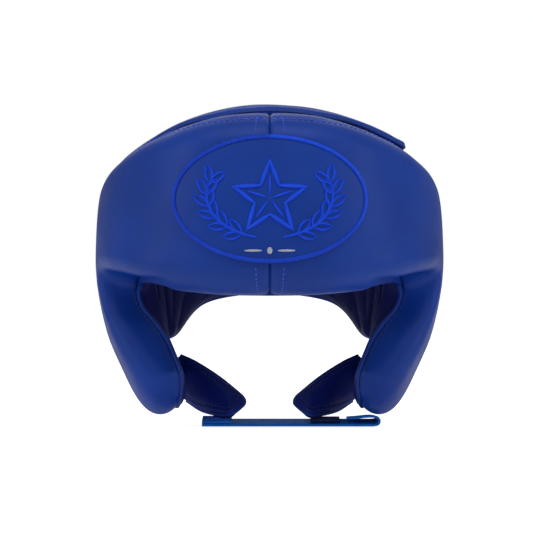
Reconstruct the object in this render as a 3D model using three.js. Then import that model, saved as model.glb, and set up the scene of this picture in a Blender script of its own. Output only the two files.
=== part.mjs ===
// Boxing headgear: a padded training head guard with cheek pads, ear slits, a crown flap, two rear wings
// closed by a hook-and-loop strap, and a chin strap between two padded tabs.
//
// Frame: millimetres, +Z up. The wearer faces -Y and the wearer's left is +X. The origin is in the middle of
// the headgear's width and depth, level with the underside of the chin strap, which is the lowest face.
// Below, y is measured from the head's vertical axis, and the whole is moved at the end.
//
// A pad is a sandwich of three pieces: a leather cover outside, a foam core, and a leather lining against
// the head. The pads lie on one head surface, given by a radius around the vertical axis for each azimuth
// (0 at the face, 90 at the ear, 180 at the back, positive towards the wearer's left) and height.
import * as THREE from "three";
import { mergeVertices } from "three/addons/utils/BufferGeometryUtils.js";

// ---- Driving dimensions, millimetres and degrees ----
const HEAD_AXIS_Y = 3.6; // from the origin back to the head's vertical axis
const LEATHER = 2; // thickness of a cover or a lining
const THIN_LEATHER = 1.2; // the same on the crown flap and the chin tabs
const GAP = 0.6; // clearance between pieces that lie on each other
const SEAM_GAP = 0.3; // from the seam between cover and lining to either of them
const FOAM_EDGE = 0.1; // half the thickness of a foam core at its edge
const SEAM_DEPTH = 0.34; // where cover meets lining, as a share of the padding from the head outwards
// The same on the shell, as [share along the band, depth]: the cover wraps right round the cheek.
const SHELL_SEAM = [[0, 0.16], [0.42, 0.2], [0.55, 0.34], [0.64, 0.33], [0.72, 0.2], [0.82, 0.16], [1, 0.38]];

// Distance from the vertical axis to the head surface, as [height, radius].
const HEAD_FRONT = [[0, 80], [35, 84], [65, 88], [95, 93], [120, 95], [150, 94], [180, 89], [208, 80]];
const HEAD_SIDE = [[0, 54], [20, 59], [38, 64], [65, 73], [95, 79], [120, 80.5], [150, 79], [180, 74], [208, 64]];
const HEAD_BACK = [[0, 80], [45, 88], [80, 99], [120, 102], [150, 98], [180, 88], [208, 70]];
const HEAD_SQUARENESS = 2.15; // exponent of the superellipse that joins front, side and back

// Padding thickness around the head, as [azimuth, thickness], and its share by height.
const PADDING = [[0, 35], [40, 37], [75, 40], [98, 39], [112, 30], [128, 22], [180, 17]];
const PADDING_SHARE = [[0, 0.72], [20, 0.88], [38, 0.96], [60, 1], [150, 1], [175, 0.97], [208, 1.02]];
const THICK_RIM = 19; // radius of the rounded edge of the brow and cheek pads
const THIN_RIM = 8; // the same on the ear surrounds and rear wings

// The shell is a band that runs from the centre of the brow round the temple and down the cheek, as
// [share of its length, azimuth, height] along its inner edge (the face opening) and its outer edge.
const FACE_EDGE = [
  [0, 0, 90], [0.15, 18, 90.5], [0.3, 36, 93], [0.42, 53, 97], [0.5, 66, 98], [0.56, 72, 93],
  [0.64, 69.5, 81], [0.74, 62, 67], [0.86, 54, 51], [1, 44, 32],
];
const OUTER_EDGE = [
  [0, 0, 210], [0.15, 21, 207.5], [0.3, 42, 200], [0.42, 63, 189], [0.5, 80, 180.5], [0.56, 92, 168],
  [0.64, 97, 128], [0.74, 97, 90], [0.86, 95, 56], [1, 86, 21],
];
const SHELL_LENGTH = 250;
const SHELL_STEPS = 14; // stations along the band between its ends
const BROW_STEPS = 7; // of these, the ones that belong to the brow
const CHEEK_DROP = 16; // how far the cheek's round bottom hangs below its corners

const PIPING_RADIUS = 1.4;

// The ear surround runs back over the ear and down behind the slit to the jaw.
const SLIT_EDGE = [[0, 97, 154], [0.2, 101, 149], [0.45, 104.5, 125], [0.7, 103, 100], [0.85, 100, 89], [1, 97.5, 84]];
const SURROUND_EDGE = [[0, 95.5, 172], [0.2, 107, 167], [0.45, 113.5, 128], [0.7, 114, 86], [0.85, 107, 62], [1, 96.5, 52]];
const SURROUND_LENGTH = 112;

// Rear wing edges as [share from the ear to the back, azimuth, height].
const WING_TOP = [[0, 115.5, 162], [0.3, 132, 168], [0.65, 155, 167], [1, 177, 163]];
const WING_BOTTOM = [[0, 116.5, 57], [0.3, 131, 62], [0.65, 152, 83], [1, 177, 91]];
const WING_LENGTH = 112;

// Rear closure: a strap round the back, sewn to the right wing and pressed on to the left one.
const CLOSURE_Z = [104, 152];
const CLOSURE_SEWN = [191.2, 206]; // azimuths of its sewn end
const CLOSURE_FREE = [148, 190]; // azimuths of the part that peels
const CLOSURE_PATCH = [150, 171]; // azimuths of the hook and loop patches
const STRAP = 3; // thickness of a strap
const PATCH = 0.8; // thickness of a hook or a loop patch

// Crown flap: an arch from the right temple over to the left one, through [x, height of its underside].
const CROWN_ARCH = [[-104, 176], [-84, 187.5], [-60, 200], [-30, 209.5], [0, 212], [30, 209.5], [60, 200.5], [91, 187.5]];
const CROWN_HINGE_X = -84;
const CROWN_FREE_X = 91;
const CROWN_SEWN_X = -103;
const CROWN_FRONT = -66; // its front edge at the centre
const CROWN_WIDTH = 82; // at the centre
const CROWN_BOW = 34; // how far its edges bow back at 100 from the centre
const CROWN_TAPER = 30; // how much narrower it is at 100 from the centre on the sewn side
const CROWN_THICK = 6;
const CROWN_PATCH = [60, 84]; // the hook and loop patches along x

// Badge: an oval leather panel on the front of the brow, with an embroidered border and star.
const BADGE_Z = 152;
const BADGE_HALF = [63, 41];
const BADGE_BORDER = 3;
const BADGE_PANEL = 0.8; // thickness of the panel
const THREAD = 1; // thickness of the embroidery
const STAR_RADIUS = 24;
const STAR_NOTCH = 0.42; // where the star's hollows lie, as a share of its radius

// Chin tabs: their two edges on the wearer's left, as [share from the jaw to the free end, x, y, z].
const TAB_BACK = [[0, 66, 24, 46], [0.3, 53, 12, 41.5], [0.65, 34.5, -4, 32], [1, 15, -17, 19.5]];
const TAB_FRONT = [[0, 61, 9, 15], [0.3, 51, -7, 11], [0.65, 40, -21, 10], [1, 27, -34, 10.5]];
const TAB_THICK = 8;
const TAB_LENGTH = 62;
// Leather that hangs a chin tab from the ear surround: its top edge as [azimuth, height] pairs.
const GUSSET_TOP = [[106, 59.3], [99, 51.8]];
const GUSSET_SEWN = 0.5; // share of the tab's root that it is sewn to
const GUSSET_OFFSET = 6; // from the head surface
const GUSSET_THICK = 3;

// Chin strap: webbing that lies flat under both tabs, from x to x.
const WEB_Y = [-38, -16];
const WEB_THICK = 2;
const WEB_SEWN = [-46, -25];
const WEB_FREE = [-24.4, 74];
const WEB_PULL = [55, 74]; // the folded end
const WEB_PATCH = [28, 48];

const rad = THREE.MathUtils.degToRad;
const mix = THREE.MathUtils.lerp;

// ---- Curves ----

// A smooth function through [x, y] pairs, level beyond the ends.
function profile(pairs) {
  const slope = pairs.map((_, i) => {
    const before = pairs[Math.max(i - 1, 0)];
    const after = pairs[Math.min(i + 1, pairs.length - 1)];
    return (after[1] - before[1]) / (after[0] - before[0]);
  });
  return (x) => {
    if (x <= pairs[0][0]) return pairs[0][1];
    if (x >= pairs.at(-1)[0]) return pairs.at(-1)[1];
    const i = pairs.findIndex((pair) => pair[0] > x) - 1;
    const [x0, y0] = pairs[i];
    const [x1, y1] = pairs[i + 1];
    const step = x1 - x0;
    const t = (x - x0) / step;
    const [m0, m1] = [slope[i] * step, slope[i + 1] * step];
    const bend = (2 * (y0 - y1) + m0 + m1) * t + 3 * (y1 - y0) - 2 * m0 - m1;
    return y0 + (m0 + bend * t) * t;
  };
}

// An edge on the head: [azimuth, height] as a function of the share of its length.
function edge(rows) {
  const azimuth = profile(rows.map(([share, a]) => [share, a]));
  const height = profile(rows.map(([share, , z]) => [share, z]));
  return (share) => [azimuth(share), height(share)];
}

// ---- The head surface and the padding on it ----
const headFront = profile(HEAD_FRONT);
const headSide = profile(HEAD_SIDE);
const headBack = profile(HEAD_BACK);
const paddingAround = profile(PADDING);
const paddingShare = profile(PADDING_SHARE);

function headRadius(azimuth, z) {
  const sine = Math.abs(Math.sin(rad(azimuth)));
  const cosine = Math.cos(rad(azimuth));
  const depth = cosine > 0 ? headFront(z) : headBack(z);
  const n = HEAD_SQUARENESS;
  return ((sine / headSide(z)) ** n + (Math.abs(cosine) / depth) ** n) ** (-1 / n);
}

// Azimuths may pass 180 on their way round the back.
function padding(azimuth, z) {
  return paddingAround(180 - Math.abs(180 - Math.abs(azimuth))) * paddingShare(z);
}

// The point a given distance outside the head surface.
function onHead(azimuth, z, outward) {
  const r = headRadius(azimuth, z) + outward;
  return new THREE.Vector3(r * Math.sin(rad(azimuth)), -r * Math.cos(rad(azimuth)), z);
}

// ---- Solids ----

// A closed body between two equal grids of points. The edges of the grids are joined by a rim, except that
// a ring's last row meets its first.
function between(top, bottom, ring = false) {
  const rows = top.length;
  const cols = top[0].length;
  const positions = [];
  const triangle = (a, b, c) => {
    const hasArea = !a.equals(b) && !b.equals(c) && !c.equals(a);
    if (hasArea) positions.push(...a, ...b, ...c);
  };
  const quad = (a, b, c, d) => {
    const shorter = a.distanceTo(c) < b.distanceTo(d);
    triangle(a, b, shorter ? c : d);
    triangle(shorter ? a : b, c, d);
  };
  for (let i = 0; i < rows - 1; i++) {
    for (let j = 0; j < cols - 1; j++) {
      quad(top[i][j], top[i + 1][j], top[i + 1][j + 1], top[i][j + 1]);
      quad(bottom[i][j], bottom[i][j + 1], bottom[i + 1][j + 1], bottom[i + 1][j]);
    }
    quad(top[i][0], bottom[i][0], bottom[i + 1][0], top[i + 1][0]);
    quad(top[i + 1][cols - 1], bottom[i + 1][cols - 1], bottom[i][cols - 1], top[i][cols - 1]);
  }
  for (let j = 0; j < cols - 1 && !ring; j++) {
    quad(top[0][j + 1], bottom[0][j + 1], bottom[0][j], top[0][j]);
    quad(top[rows - 1][j], bottom[rows - 1][j], bottom[rows - 1][j + 1], top[rows - 1][j + 1]);
  }
  return closed(positions);
}

function signedVolume(positions) {
  let six = 0;
  for (let i = 0; i < positions.length; i += 9) {
    const [a, b, c] = [0, 3, 6].map((k) => new THREE.Vector3().fromArray(positions, i + k));
    six += a.dot(b.cross(c));
  }
  return six / 6;
}

// Merges shared corners and turns the body the right way out.
function closed(positions) {
  if (signedVolume(positions) < 0) {
    for (let i = 0; i < positions.length; i += 9) {
      const second = positions.slice(i + 3, i + 6);
      positions.splice(i + 3, 6, ...positions.slice(i + 6, i + 9), ...second);
    }
  }
  const loose = new THREE.BufferGeometry();
  loose.setAttribute("position", new THREE.Float32BufferAttribute(positions, 3));
  const geometry = mergeVertices(loose, 1e-3);
  geometry.computeVertexNormals();
  return geometry;
}

// ---- Pads ----

// Stations across a pad: a rounded rim is stepped by its angle, the flat between the rims by share.
const RIM_ANGLES = [0, 50];
function stations(steps, roundStart, roundEnd, skip = 0) {
  const rim = (end) => RIM_ANGLES.map((angle) => ({ end, angle: rad(angle) }));
  const flat = Array.from({ length: steps + 1 - skip }, (_, i) => ({ end: 0, share: (i + skip) / steps }));
  return [...(roundStart ? rim(-1) : []), ...flat, ...(roundEnd ? rim(1).reverse() : [])];
}

// Where a station lies along a length, and how much of the padding it has there.
function locate(station, length, rim, inset, roundStart, roundEnd) {
  if (station.end === 0) {
    const start = roundStart ? rim : GAP / 2;
    const end = roundEnd ? length - rim : length - GAP / 2;
    return [mix(start, end, station.share) / length + (station.shift ?? 0) / length, 1];
  }
  const depth = rim - (rim - inset) * Math.cos(station.angle);
  return [(station.end < 0 ? depth : length - depth) / length, Math.sin(station.angle)];
}

// One side of a pad as a grid of points: side 1 is outside, -1 is against the head, inset is how far the
// surface lies inside the pad's outline, and base is its distance from the seam at the rim.
function padSide(pad, side, inset, base) {
  const { point, thickness, length, rim, along, across, roundStart, roundEnd, seamDepth = () => SEAM_DEPTH } = pad;
  return along.map((u) => {
    const [su, fu] = locate(u, length, rim, inset, roundStart, roundEnd);
    const middle = thickness(su, 0.5) / 2;
    const width = point(su, 0, middle).distanceTo(point(su, 1, middle));
    return across.map((v) => {
      const [sv, fv] = locate(v, width, rim, inset, true, true);
      const thick = thickness(su, sv);
      const seam = thick * seamDepth(su);
      const reach = side > 0 ? thick - seam : seam;
      const rise = base + (reach - base - inset) * fu * fv;
      return point(su, sv, seam + side * rise);
    });
  });
}

// The point and thickness functions of a pad that lies on the head, from its azimuths and heights.
function headPad(place) {
  return {
    point: (along, across, outward) => onHead(...place(along, across), outward),
    thickness: (along, across) => padding(...place(along, across)),
  };
}

function cover(pad, skin = LEATHER) {
  return between(padSide(pad, 1, 0, SEAM_GAP), padSide(pad, 1, skin, SEAM_GAP));
}

function lining(pad, skin = LEATHER) {
  return between(padSide(pad, -1, skin, SEAM_GAP), padSide(pad, -1, 0, SEAM_GAP));
}

function foam(pad, skin = LEATHER) {
  return between(padSide(pad, 1, skin + GAP, FOAM_EDGE), padSide(pad, -1, skin + GAP, FOAM_EDGE));
}

// ---- Materials ----
const leather = (color) => new THREE.MeshStandardMaterial({ color, roughness: 0.48, metalness: 0 });
const foamMaterial = new THREE.MeshStandardMaterial({ color: 0x2b2d33, roughness: 0.95, metalness: 0 });
const threadMaterial = new THREE.MeshStandardMaterial({ color: 0x1f4be0, roughness: 0.4, metalness: 0 });
const webbing = new THREE.MeshStandardMaterial({ color: 0x12508f, roughness: 0.75, metalness: 0 });
const hookAndLoop = new THREE.MeshStandardMaterial({ color: 0x0b1330, roughness: 0.95, metalness: 0 });
const BLUE = 0x1440a0;
const NAVY = 0x14173c;

const headgear = new THREE.Group();
function add(name, geometry, material) {
  const mesh = new THREE.Mesh(geometry, material);
  mesh.name = name;
  headgear.add(mesh);
}
const SIDES = [["left", 1], ["right", -1]];

// ---- Shell: brow and cheeks ----
const faceEdge = edge(FACE_EDGE);
const outerEdge = edge(OUTER_EDGE);
const shellSeam = profile(SHELL_SEAM);

// Azimuth and height at a share along the band (negative on the wearer's right) and a share across it.
function placeOnShell(along, across) {
  const share = Math.abs(along);
  const [a0, z0] = faceEdge(share);
  const [a1, z1] = outerEdge(share);
  const sag = CHEEK_DROP * 4 * across * (1 - across) * THREE.MathUtils.smoothstep(share, 0.7, 1.05);
  const azimuth = mix(a0, a1, across);
  return [along < 0 ? -azimuth : azimuth, mix(z0, z1, across) - sag];
}

function shellPad(side) {
  return {
    ...headPad((along, across) => placeOnShell(side * along, across)),
    seamDepth: shellSeam,
    length: SHELL_LENGTH,
    rim: THICK_RIM,
    along: stations(SHELL_STEPS, false, true),
    across: stations(2, true, true),
    roundStart: false,
    roundEnd: true,
  };
}

// The brow's foam and lining run from temple to temple, and the cheek's continue below them.
function browPad() {
  const one = shellPad(1);
  const half = one.along.slice(0, BROW_STEPS + 1);
  const shares = half.map((u) => locate(u, SHELL_LENGTH, THICK_RIM, 0, false, true)[0]);
  const last = shares.length - 1;
  shares[0] = 0;
  shares[last] -= GAP / 2 / SHELL_LENGTH;
  const all = [...shares.slice(1).reverse().map((s) => -s), ...shares];
  const span = 2 * shares[last];
  return {
    ...one,
    ...headPad((along, across) => placeOnShell((along - 0.5) * span, across)),
    seamDepth: (along) => shellSeam(Math.abs(along - 0.5) * span),
    along: all.map((s) => ({ end: 0, share: s / span + 0.5 })),
    length: 1e6, // the shares above already hold the clearance at the ends
    roundEnd: false,
  };
}

function cheekPad(side) {
  const pad = shellPad(side);
  const along = pad.along.slice(BROW_STEPS);
  along[0] = { ...along[0], shift: GAP / 2 };
  return { ...pad, along };
}

for (const [name, side] of SIDES) {
  add(`leather_shell_${name}`, cover(shellPad(side)), leather(BLUE));
  add(`cheek_foam_${name}`, foam(cheekPad(side)), foamMaterial);
  add(`cheek_lining_${name}`, lining(cheekPad(side)), leather(NAVY));
}
add("brow_foam", foam(browPad()), foamMaterial);
add("brow_lining", lining(browPad()), leather(NAVY));

// The cord sewn into the seam between cover and lining, along the face opening and down the cheek.
function tube(points, radius) {
  const section = new THREE.Shape();
  section.absarc(0, 0, radius, 0, 2 * Math.PI);
  const path = new THREE.CatmullRomCurve3(points, false, "catmullrom", 0);
  const options = { steps: points.length * 2, curveSegments: 3, bevelEnabled: false, extrudePath: path };
  const extruded = new THREE.ExtrudeGeometry(section, options);
  extruded.deleteAttribute("normal");
  extruded.deleteAttribute("uv");
  return mergeVertices(extruded, 1e-3);
}

function piping(side) {
  const pad = shellPad(side);
  const shares = pad.along.map((u) => locate(u, SHELL_LENGTH, THICK_RIM, 0, false, true)[0]);
  const seamPoint = (along, across) => {
    return pad.point(along, across, pad.thickness(along, across) * shellSeam(along));
  };
  const step = 0.01;
  const points = shares.slice(BROW_STEPS, -1).map((along) => {
    const tangent = seamPoint(along + step, 0).sub(seamPoint(along - step, 0)).normalize();
    const outward = seamPoint(along, 0).sub(seamPoint(along, step));
    outward.addScaledVector(tangent, -outward.dot(tangent)).normalize();
    return seamPoint(along, 0).addScaledVector(outward, PIPING_RADIUS + 2 * GAP);
  });
  return tube(points, PIPING_RADIUS);
}

for (const [name, side] of SIDES) add(`cheek_piping_${name}`, piping(side), leather(BLUE));

// ---- Ear surrounds ----
const slitEdge = edge(SLIT_EDGE);
const surroundEdge = edge(SURROUND_EDGE);

function surroundPad(side) {
  return {
    ...headPad((along, across) => {
      const [a0, z0] = slitEdge(along);
      const [a1, z1] = surroundEdge(along);
      return [side * mix(a0, a1, across), mix(z0, z1, across)];
    }),
    length: SURROUND_LENGTH,
    rim: THIN_RIM / 2,
    along: stations(8, true, true),
    across: stations(1, true, true),
    roundStart: true,
    roundEnd: true,
  };
}

for (const [name, side] of SIDES) {
  const pad = surroundPad(side);
  add(`ear_surround_cover_${name}`, cover(pad), leather(BLUE));
  add(`ear_surround_foam_${name}`, foam(pad), foamMaterial);
  add(`ear_surround_lining_${name}`, lining(pad), leather(NAVY));
}

// ---- Rear wings ----
const wingTop = edge(WING_TOP);
const wingBottom = edge(WING_BOTTOM);

function wingPad(side) {
  return {
    ...headPad((along, across) => {
      const [a0, z0] = wingBottom(along);
      const [a1, z1] = wingTop(along);
      return [side * mix(a0, a1, across), mix(z0, z1, across)];
    }),
    length: WING_LENGTH,
    rim: THIN_RIM,
    along: stations(6, true, true),
    across: stations(2, true, true),
    roundStart: true,
    roundEnd: true,
  };
}

for (const [name, side] of SIDES) {
  const pad = wingPad(side);
  add(`rear_wing_cover_${name}`, cover(pad), leather(BLUE));
  add(`rear_wing_foam_${name}`, foam(pad), foamMaterial);
  add(`rear_wing_lining_${name}`, lining(pad), leather(NAVY));
}

// ---- Rear closure ----

// A sheet that follows the head: azimuths and heights between two limits, from one offset outside the
// padding to the next. The offset can change with the azimuth.
function sheet(azimuths, heights, offset, thick, steps = [8, 3]) {
  const grid = (extra) => Array.from({ length: steps[0] + 1 }, (_, i) => {
    const azimuth = mix(azimuths[0], azimuths[1], i / steps[0]);
    return Array.from({ length: steps[1] + 1 }, (_, j) => {
      const z = mix(heights[0], heights[1], j / steps[1]);
      return onHead(azimuth, z, padding(azimuth, z) + offset(azimuth) + extra);
    });
  });
  return between(grid(thick), grid(0));
}

const UNDER_STRAP = 2 * PATCH + 3 * GAP; // room for both patches under a strap
const closureOffset = (azimuth) => mix(UNDER_STRAP, GAP, THREE.MathUtils.smoothstep(azimuth, 172, 190));
const patchZ = [CLOSURE_Z[0] + 6, CLOSURE_Z[1] - 6];

add("rear_strap_base", sheet(CLOSURE_SEWN, CLOSURE_Z, () => GAP, STRAP, [3, 3]), leather(BLUE));
add("rear_closure_strap", sheet(CLOSURE_FREE, CLOSURE_Z, closureOffset, STRAP, [9, 3]), leather(BLUE));
add("rear_loop_patch", sheet(CLOSURE_PATCH, patchZ, () => GAP, PATCH, [4, 3]), hookAndLoop);
add("rear_hook_patch", sheet(CLOSURE_PATCH, patchZ, () => 2 * GAP + PATCH, PATCH, [4, 3]), hookAndLoop);

// ---- Crown flap ----
const crownArch = profile(CROWN_ARCH);

// The arch's underside, with its edges bowed back towards the temples.
function crownPoint(x, across, outward) {
  const step = 0.5;
  const slope = (crownArch(x + step) - crownArch(x - step)) / (2 * step);
  const normal = new THREE.Vector3(-slope, 0, 1).normalize();
  const back = CROWN_FRONT + CROWN_WIDTH + CROWN_BOW * (x / 100) ** 2;
  const width = CROWN_WIDTH - (x < 0 ? CROWN_TAPER * (x / 100) ** 2 : 0);
  const y = back - width * (1 - across);
  return new THREE.Vector3(x, y, crownArch(x)).addScaledVector(normal, outward);
}

function crownSheet(range, across, low, high, steps) {
  const grid = (outward) => Array.from({ length: steps + 1 }, (_, i) => {
    const x = mix(range[0], range[1], i / steps);
    return [0, 0.5, 1].map((share) => crownPoint(x, mix(across[0], across[1], share), outward));
  });
  return between(grid(high), grid(low));
}

const crownFlapPad = {
  point: (along, across, outward) => crownPoint(mix(CROWN_HINGE_X, CROWN_FREE_X, along), across, outward),
  thickness: () => CROWN_THICK,
  length: CROWN_FREE_X - CROWN_HINGE_X,
  rim: CROWN_THICK / 2,
  seamDepth: () => 0.5,
  along: stations(12, false, true),
  across: stations(1, true, true),
  roundStart: false,
  roundEnd: true,
};

add("crown_flap_cover", cover(crownFlapPad, THIN_LEATHER), leather(BLUE));
add("crown_flap_padding", foam(crownFlapPad, THIN_LEATHER), foamMaterial);
add("crown_flap_lining", lining(crownFlapPad, THIN_LEATHER), leather(NAVY));
add("crown_anchor", crownSheet([CROWN_SEWN_X, CROWN_HINGE_X - GAP], [0.03, 0.97], 1, CROWN_THICK - 1, 3), leather(BLUE));
add("crown_hook_patch", crownSheet(CROWN_PATCH, [0.15, 0.85], -GAP - PATCH, -GAP, 3), hookAndLoop);
add("crown_loop_patch", crownSheet(CROWN_PATCH, [0.15, 0.85], -2 * GAP - 2 * PATCH, -2 * GAP - PATCH, 3), hookAndLoop);

// ---- Badge ----
function onBrow(x, z, outward) {
  let azimuth = 0;
  for (let i = 0; i < 6; i++) {
    const r = headRadius(azimuth, z) + padding(azimuth, z) + outward;
    azimuth = THREE.MathUtils.radToDeg(Math.asin(x / r));
  }
  return onHead(azimuth, z, padding(azimuth, z) + outward);
}

// An outline gives [x, height above the badge's centre] for an angle from its top.
const oval = (halfWidth, halfHeight) => (angle) => [halfWidth * Math.sin(angle), halfHeight * Math.cos(angle)];
const centre = oval(0, 0);

function star(angle) {
  const reach = STAR_RADIUS * (Math.cos(5 * angle) > 0 ? 1 : STAR_NOTCH);
  return [reach * Math.sin(angle), reach * Math.cos(angle)];
}

// A thin sheet on the front of the brow between two outlines, from one height above the leather to another.
function badgeSheet(outer, inner, [around, across], [low, high]) {
  const grid = (outward) => Array.from({ length: around + 1 }, (_, i) => {
    const angle = ((i % around) / around) * 2 * Math.PI;
    return Array.from({ length: across + 1 }, (_, j) => {
      const [x, z] = [0, 1].map((k) => mix(outer(angle)[k], inner(angle)[k], j / across));
      return onBrow(x, BADGE_Z + z, outward);
    });
  });
  return between(grid(high), grid(low), true);
}

const panelLayer = [SEAM_GAP, SEAM_GAP + BADGE_PANEL];
const threadLayer = [panelLayer[1] + SEAM_GAP, panelLayer[1] + SEAM_GAP + THREAD];
const badgeOuter = oval(...BADGE_HALF);
const badgeInner = oval(...BADGE_HALF.map((half) => half - BADGE_BORDER));
add("badge_panel", badgeSheet(badgeOuter, centre, [32, 6], panelLayer), leather(BLUE));
add("badge_border", badgeSheet(badgeOuter, badgeInner, [32, 1], threadLayer), threadMaterial);
add("badge_emblem", badgeSheet(star, centre, [10, 3], threadLayer), threadMaterial);

// ---- Chin tabs ----
function spaceEdge(rows) {
  const axes = [1, 2, 3].map((k) => profile(rows.map((row) => [row[0], row[k]])));
  return (share) => new THREE.Vector3(...axes.map((axis) => axis(share)));
}
const tabBack = spaceEdge(TAB_BACK);
const tabFront = spaceEdge(TAB_FRONT);

// The tab's upper face faces the jaw. Its thickness runs down and back from that face.
function tabPoint(along, across, outward) {
  const step = 0.01;
  const middle = (share) => tabBack(share).lerp(tabFront(share), 0.5);
  const ahead = middle(Math.min(along + step, 1)).sub(middle(Math.max(along - step, 0)));
  const sideways = tabFront(along).sub(tabBack(along));
  const down = sideways.cross(ahead).normalize();
  return tabBack(along).lerp(tabFront(along), across).addScaledVector(down, outward);
}

function chinTabPad(side) {
  return {
    point: (along, across, outward) => tabPoint(along, across, outward).multiply(new THREE.Vector3(side, 1, 1)),
    thickness: () => TAB_THICK,
    length: TAB_LENGTH,
    rim: TAB_THICK / 2,
    seamDepth: () => 0.5,
    along: stations(5, false, true),
    across: stations(1, true, true),
    roundStart: false,
    roundEnd: true,
  };
}

function gusset(side) {
  const grid = (outward) => [0, 0.5, 1].map((along) => [0, 0.5, 1].map((across) => {
    const [azimuth, z] = [0, 1].map((k) => mix(GUSSET_TOP[0][k], GUSSET_TOP[1][k], across));
    const top = onHead(azimuth, z, GUSSET_OFFSET + outward);
    const root = tabBack(0).lerp(tabFront(0), GUSSET_SEWN * across);
    root.add(new THREE.Vector3(outward + GAP, GAP, GAP));
    return top.lerp(root, along).multiply(new THREE.Vector3(side, 1, 1));
  }));
  return between(grid(GUSSET_THICK), grid(0));
}

for (const [name, side] of SIDES) {
  const pad = chinTabPad(side);
  add(`chin_tab_cover_${name}`, cover(pad, THIN_LEATHER), leather(NAVY));
  add(`chin_tab_foam_${name}`, foam(pad, THIN_LEATHER), foamMaterial);
  add(`chin_tab_lining_${name}`, lining(pad, THIN_LEATHER), leather(NAVY));
  add(`jaw_gusset_${name}`, gusset(side), leather(NAVY));
}

// ---- Chin strap ----
function slab(x, y, z) {
  const size = [x, y, z].map(([low, high]) => high - low);
  const box = new THREE.BoxGeometry(...size);
  box.translate(...[x, y, z].map(([low, high]) => (low + high) / 2));
  return box;
}

const patchY = [WEB_Y[0] + 2, WEB_Y[1] - 2];
const hookZ = [WEB_THICK + GAP, WEB_THICK + GAP + PATCH];
const loopZ = [hookZ[1] + GAP, hookZ[1] + GAP + PATCH];
add("chin_strap_base", slab(WEB_SEWN, WEB_Y, [0, 2 * WEB_THICK]), webbing);
add("chin_strap", slab(WEB_FREE, WEB_Y, [0, WEB_THICK]), webbing);
add("chin_strap_pull", slab(WEB_PULL, WEB_Y, [WEB_THICK + GAP, 3 * WEB_THICK]), webbing);
add("chin_hook_patch", slab(WEB_PATCH, patchY, hookZ), hookAndLoop);
add("chin_loop_patch", slab(WEB_PATCH, patchY, loopZ), hookAndLoop);

headgear.position.y = HEAD_AXIS_Y;
export default headgear;
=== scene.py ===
"""Boxing headgear: leather, linings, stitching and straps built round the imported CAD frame.

Helpers take millimetres, and to_object turns them into metres. The pads follow the same head surface as
the CAD part: a distance from the head's vertical axis for each azimuth (0 at the face, 90 at the wearer's
left, 180 at the back) and height. The axis stands HEAD_AXIS_Y behind the frame's origin.
"""

import math

import bpy
import numpy as np
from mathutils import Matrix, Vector, noise

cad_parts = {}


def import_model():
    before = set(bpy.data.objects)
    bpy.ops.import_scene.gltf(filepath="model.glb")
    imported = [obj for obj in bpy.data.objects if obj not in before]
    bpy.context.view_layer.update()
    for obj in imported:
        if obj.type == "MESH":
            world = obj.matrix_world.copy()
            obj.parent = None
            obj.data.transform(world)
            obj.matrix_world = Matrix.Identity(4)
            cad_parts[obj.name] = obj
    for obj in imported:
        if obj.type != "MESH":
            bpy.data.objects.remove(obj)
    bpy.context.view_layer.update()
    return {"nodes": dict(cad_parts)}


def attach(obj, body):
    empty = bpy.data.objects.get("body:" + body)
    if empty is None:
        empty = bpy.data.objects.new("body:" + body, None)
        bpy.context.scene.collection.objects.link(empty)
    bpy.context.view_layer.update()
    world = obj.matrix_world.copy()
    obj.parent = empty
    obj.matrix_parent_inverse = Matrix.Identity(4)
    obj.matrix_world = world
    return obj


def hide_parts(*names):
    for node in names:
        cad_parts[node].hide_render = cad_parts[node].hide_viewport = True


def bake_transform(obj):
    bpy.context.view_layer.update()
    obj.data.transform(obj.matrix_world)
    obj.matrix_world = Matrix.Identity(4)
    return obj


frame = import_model()
nodes = frame["nodes"]
MM = 0.001
SIDES = (("left", 1), ("right", -1))

# ---- Head surface and padding, millimetres and degrees, as the CAD part states them ----
HEAD_AXIS_Y = 3.6
HEAD_FRONT = [(0, 80), (35, 84), (65, 88), (95, 93), (120, 95), (150, 94), (180, 89), (208, 80)]
HEAD_SIDE = [(0, 54), (20, 59), (38, 64), (65, 73), (95, 79), (120, 80.5), (150, 79), (180, 74), (208, 64)]
HEAD_BACK = [(0, 80), (45, 88), (80, 99), (120, 102), (150, 98), (180, 88), (208, 70)]
SQUARENESS = 2.15
PADDING = [(0, 35), (40, 37), (75, 40), (98, 39), (112, 30), (128, 22), (180, 17)]
PADDING_SHARE = [(0, 0.72), (20, 0.88), (38, 0.96), (60, 1), (150, 1), (175, 0.97), (208, 1.02)]
GAP = 0.6
SEAM_GAP = 0.3


def profile(pairs):
    """A smooth function through (x, y) pairs, level beyond the ends. It takes arrays."""
    x, y = (np.array(column, float) for column in zip(*pairs))
    last = len(x) - 1
    before = np.maximum(np.arange(last + 1) - 1, 0)
    after = np.minimum(np.arange(last + 1) + 1, last)
    slope = (y[after] - y[before]) / (x[after] - x[before])

    def value(at):
        at = np.clip(np.asarray(at, float), x[0], x[last])
        i = np.clip(np.searchsorted(x, at, side="right") - 1, 0, last - 1)
        step = x[i + 1] - x[i]
        t = (at - x[i]) / step
        m0, m1 = slope[i] * step, slope[i + 1] * step
        bend = (2 * (y[i] - y[i + 1]) + m0 + m1) * t + 3 * (y[i + 1] - y[i]) - 2 * m0 - m1
        return y[i] + (m0 + bend * t) * t

    return value


def rows_profile(rows):
    """One smooth function for each column of rows of (share, value, value, ...)."""
    return [profile([(row[0], row[k]) for row in rows]) for k in range(1, len(rows[0]))]


head_front, head_side, head_back = profile(HEAD_FRONT), profile(HEAD_SIDE), profile(HEAD_BACK)
padding_around, padding_share = profile(PADDING), profile(PADDING_SHARE)


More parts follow.
